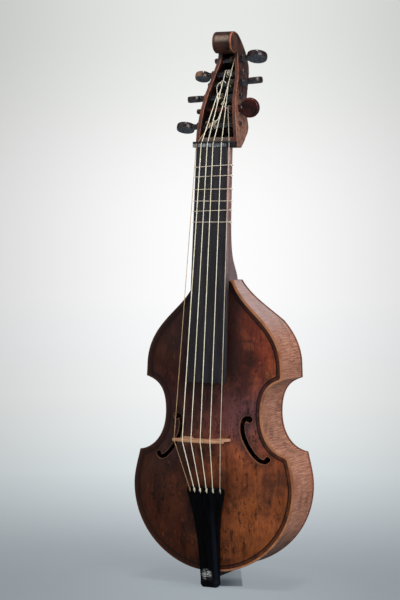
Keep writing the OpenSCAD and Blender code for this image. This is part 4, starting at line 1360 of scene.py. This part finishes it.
# %% Gut lines
def gut_line(paths, width, closed=False):
    data = bpy.data.curves.new("gut line", "CURVE")
    data.dimensions = "3D"
    data.bevel_depth = width / 2 * MM
    data.bevel_resolution = 2
    data.use_fill_caps = True
    for path in paths:
        spline = data.splines.new("POLY")
        spline.points.add(len(path) - 1)
        for point, spot in zip(spline.points, path):
            point.co = (*spot, 1)
        spline.use_cyclic_u = closed
    holder = linked("gut line", data)
    bpy.context.view_layer.update()
    shown = holder.evaluated_get(bpy.context.evaluated_depsgraph_get())
    bm = bmesh.new()
    bm.from_mesh(bpy.data.meshes.new_from_object(shown))
    bpy.data.objects.remove(holder)
    bmesh.ops.remove_doubles(bm, verts=bm.verts, dist=1e-6)
    return bm


def gut_piece(node, bm, material, body="root"):
    finish_piece(f"{node}_gut", mesh_of(bm), material, [node], body, ROUND_CREASE)


print("a soft path has", len(soft_path([(0, 0, 0), (1, 0, 0), (1, 1, 0)])), "points")

# %% [markdown]
# Frets on a viol are gut tied round the neck, so that they can be pushed a little to true a note.
# Each loop follows the board's camber and the neck's round, and is knotted at the edge of the
# board, with two short ends left on. Each rides on its own body, which slides along the neck.

# %% Frets
FRET_AT = [485, 473, 457.5, 443.5, 432, 418.5]
FRET_WIDTH = 0.9
FRET_LEAN = [1.3, 0.9, 0.4, 0.1, 0.8, 0.2]
FRET_GAP = 0.22
FRET_OFF = FRET_GAP + FRET_WIDTH / 2
FRET_TRAVEL = 2.5
FRONT_STEPS = 24
ROUND_STEPS = 40
KNOT_R = 0.8
KNOT_TURNS = 2.5
KNOT_STEPS = 24
KNOT_BACK = 2
KNOT_LENGTH = 2.6
KNOT_ENDS = [[(0.8, 0.6, 0.8), (1.4, 0.2, 3.2)], [(0.5, -0.3, -0.9), (1.0, 0.5, -2.6)]]
KNOT_SHARE = 0.8


def camber_y(x, z):
    return board_y(z) + x * x / (2 * CAMBER)


def fret_loop(z, lean):
    growth = smooth_at(NECK_DEPTH, z - FRET_TRAVEL) - smooth_at(NECK_DEPTH, z)
    half = board_half(z)
    made = []
    for k in range(FRONT_STEPS + 1):
        x = half * (2 * k / FRONT_STEPS - 1)
        made.append(at(x, camber_y(x, z) - FRET_OFF, z))
    made.append(at(half + FRET_OFF, camber_y(half, z) + FRET_OFF / 2, z))
    made += [at(*neck_round(k / ROUND_STEPS, z, FRET_OFF + growth), z) for k in range(ROUND_STEPS + 1)]
    made.append(at(-half - FRET_OFF, camber_y(half, z) + FRET_OFF / 2, z))
    return [spot + Vector((0, 0, lean * spot.x / half)) for spot in made]


def fret_knot(z):
    x0, y0 = board_half(z) + FRET_OFF, camber_y(board_half(z), z) + KNOT_BACK
    turns = []
    for k in range(KNOT_STEPS + 1):
        share = k / KNOT_STEPS
        angle = 2 * math.pi * KNOT_TURNS * share
        across, up = KNOT_R * math.cos(angle), KNOT_R * math.sin(angle)
        turns.append(at(x0 + across, y0 + KNOT_LENGTH * share, z + up))
    ends = []
    for start, offsets in zip((turns[-1], turns[0]), KNOT_ENDS):
        ends.append(soft_path([start, *(start + Vector(offset) * MM for offset in offsets)]))
    return [turns, *ends]


for i, z, lean in zip(STRINGS, FRET_AT, FRET_LEAN):
    loop = gut_line([fret_loop(z, lean)], FRET_WIDTH, closed=True)
    band = joined(loop, gut_line(fret_knot(z + lean), KNOT_SHARE * FRET_WIDTH))
    gut_piece(f"fret_{i}", band, FRET_GUT, f"fret_band_{i}")

# %% [markdown]
# Each string starts behind the tailpiece, passes through its hole, over the bridge and the nut, and
# then round the front of its peg. The axis of each peg comes from the imported joints, and the radius
# of its winding from the box of the imported one. The string's own wrap stays with the body, while
# the winding turns with the peg. Old gut is often pieced together, so some strings have knots with a
# loop or a short end left standing beside them.

# %% Strings and windings
WIDTHS = [0.8, 1.1, 1, 1, 0.9, 0.8]
WRAP_X = [-11, -8, -3, 7, 4.5, 9.5]
LANE_SIDE = [1, 1, 1, -1, 1, 1]
TURN_GAP = 0.7
WRAP_ANGLE = math.radians(285)
WRAP_ADVANCE = 0.5
WRAP_EASE = 0.05
LANE_START = 1.55
LAG = math.radians(20)
TURNS = 3
STEP_ANGLE = math.radians(10)
BRIDGE_AT = 160
BRIDGE_X = -3
BRIDGE_CROWN = 44
BRIDGE_SPACING = 12
MIDDLE_STRING = 3.5
HOLE_ROUTE = [(4, -2.5), (1.5, -0.5), (-0.1, 1.2), (-1.2, 4)]
TIE_R = 0.95
TIE_TURNS = 3
TIE_STEPS = 36
TIE_LENGTH = 3.6
TIE_FRONT = 0.6
TIE_ABOVE = 1.4
TIE_SHARE = 0.7
END_SINK = 1.6


def winding_radius(i):
    low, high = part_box(f"winding_{i}")
    return (high[1] - low[1]) / 2 / MM - WIDTHS[i - 1] / 2


def round_shaft(i, radius, angle, x):
    line = SHAFT_LINE[i]
    up = Vector((-line.z, 0, line.x))
    spot = SHAFT_PLACE[i] + x * line + radius * (math.sin(angle) * up + math.cos(angle) * Vector((0, 1, 0)))
    return at(*spot)


def touch_angle(i):
    reach = Vector((nut_top(NUT_X[i - 1]), NUT_AT)) - SHAFT_PLACE[i].yz
    radius = winding_radius(i) + WRAP_EASE
    return math.atan2(reach.y, reach.x) - math.acos(radius / reach.length)


def lane(i, pitches):
    return WRAP_X[i - 1] + LANE_SIDE[i - 1] * pitches * (WIDTHS[i - 1] + TURN_GAP)


def wound(i, radius, start, angle, first, pitches):
    count = round(angle / STEP_ANGLE)
    spots = []
    for k in range(count + 1):
        share = k / count
        spots.append(round_shaft(i, radius, start - share * angle, lane(i, first + share * pitches)))
    return spots


def string_route(i):
    x = TAIL_X[i - 1]
    over = BRIDGE_X + (i - MIDDLE_STRING) * BRIDGE_SPACING
    front = tail_front(x, TAIL_HOLE)
    hole = soft_path([at(x, front + behind, TAIL_HOLE + above) for behind, above in HOLE_ROUTE], 4)
    crest = at(over, -BRIDGE_CROWN + (over - BRIDGE_X) ** 2 / (2 * CAMBER), BRIDGE_AT)
    nut = at(NUT_X[i - 1], nut_top(NUT_X[i - 1]), NUT_AT)
    wrap = wound(i, winding_radius(i) + WRAP_EASE, touch_angle(i), WRAP_ANGLE, 0, WRAP_ADVANCE)
    return [*hole, crest, nut, *wrap]


def tie(i):
    x = TAIL_X[i - 1]
    low = at(x, tail_front(x, TAIL_HOLE) - TIE_FRONT, TAIL_HOLE + TIE_ABOVE)
    path = []
    for k in range(TIE_STEPS + 1):
        share = k / TIE_STEPS
        angle = 2 * math.pi * TIE_TURNS * share
        path.append(low + Vector((TIE_R * math.cos(angle), TIE_R * math.sin(angle), TIE_LENGTH * share)) * MM)
    return path


def winding_route(i):
    radius = winding_radius(i)
    start = touch_angle(i) - WRAP_ANGLE - LAG
    angle = 2 * math.pi * TURNS
    turns = wound(i, radius, start, angle, LANE_START, TURNS)
    sunk = radius - END_SINK * WIDTHS[i - 1]
    first = round_shaft(i, sunk, start + LAG / 2, lane(i, LANE_START))
    last = round_shaft(i, sunk, start - angle - LAG / 2, lane(i, LANE_START + TURNS))
    return [first, *turns, last]


STRING_GUT = [OLD_GUT, GUT, GUT, GUT, GUT, FRET_GUT]
# Windings 2, 4, 5 and 6 take the shaded gut, a painted shade of the pegbox over them.
WINDING_GUT = [FRET_GUT, SHADED_GUT, FRET_GUT, SHADED_GUT, SHADED_GUT, SHADED_GUT]
KNOTS = {
    3: [
        [(-5.5, 15, 556), (-6, 19.5, 568), (-9, 24, 577), (-9.5, 26.5, 583), (-6.5, 28, 587), (-4, 26.5, 583),
         (-4.5, 24, 577), (-7, 20, 569), (-4, 19, 567), (-1, 18.5, 568)],
        [(-7, 28, 586), (-3.5, 28.5, 589), (-0.5, 28, 588), (1, 27.5, 586)],
        [(-4, 8, 546), (-5.5, 5.5, 541), (-2, 4, 539), (1, 5.5, 541.5), (3, 9, 550), (4.5, 12, 557)]],
    5: [[(2, 13, 559), (2.5, 14, 561.5), (5, 14, 562.5), (7, 13.5, 560), (6, 12.5, 556)]],
    1: [[(-14, 3, 537), (-11.5, 3.5, 539), (-9, 2.5, 536), (-8, 0.5, 531), (-6.5, 2.5, 537)]],
}
for i in STRINGS:
    width = WIDTHS[i - 1]
    string = joined(gut_line([string_route(i)], width), gut_line([tie(i)], TIE_SHARE * width))
    if i in KNOTS:
        knots = [soft_path([at(*spot) for spot in knot]) for knot in KNOTS[i]]
        string = joined(string, gut_line(knots, KNOT_SHARE * width))
    gut_piece(f"string_{i}", string, STRING_GUT[i - 1])
    gut_piece(f"winding_{i}", gut_line([winding_route(i)], width), WINDING_GUT[i - 1], f"tuner_{i}")

# %% [markdown]
# Blocks, linings, the bass bar, the sound post and the fold's brace are inside the body. Their
# imported shapes are right, so each keeps its own mesh and only takes the spruce finish, grey with dust.

# %% Wood inside the body
INSIDE = [
    "top_block", "tail_block", "corner_block_lower_left", "corner_block_lower_right",
    "corner_block_upper_left", "corner_block_upper_right", "belly_linings", "back_linings", "bass_bar",
    "sound_post", "sound_post_plate", "fold_brace"]
for name in INSIDE:
    mesh = frame["nodes"][name].data
    mesh.materials.clear()
    mesh.materials.append(SPRUCE)
print("inside pieces", len(INSIDE))
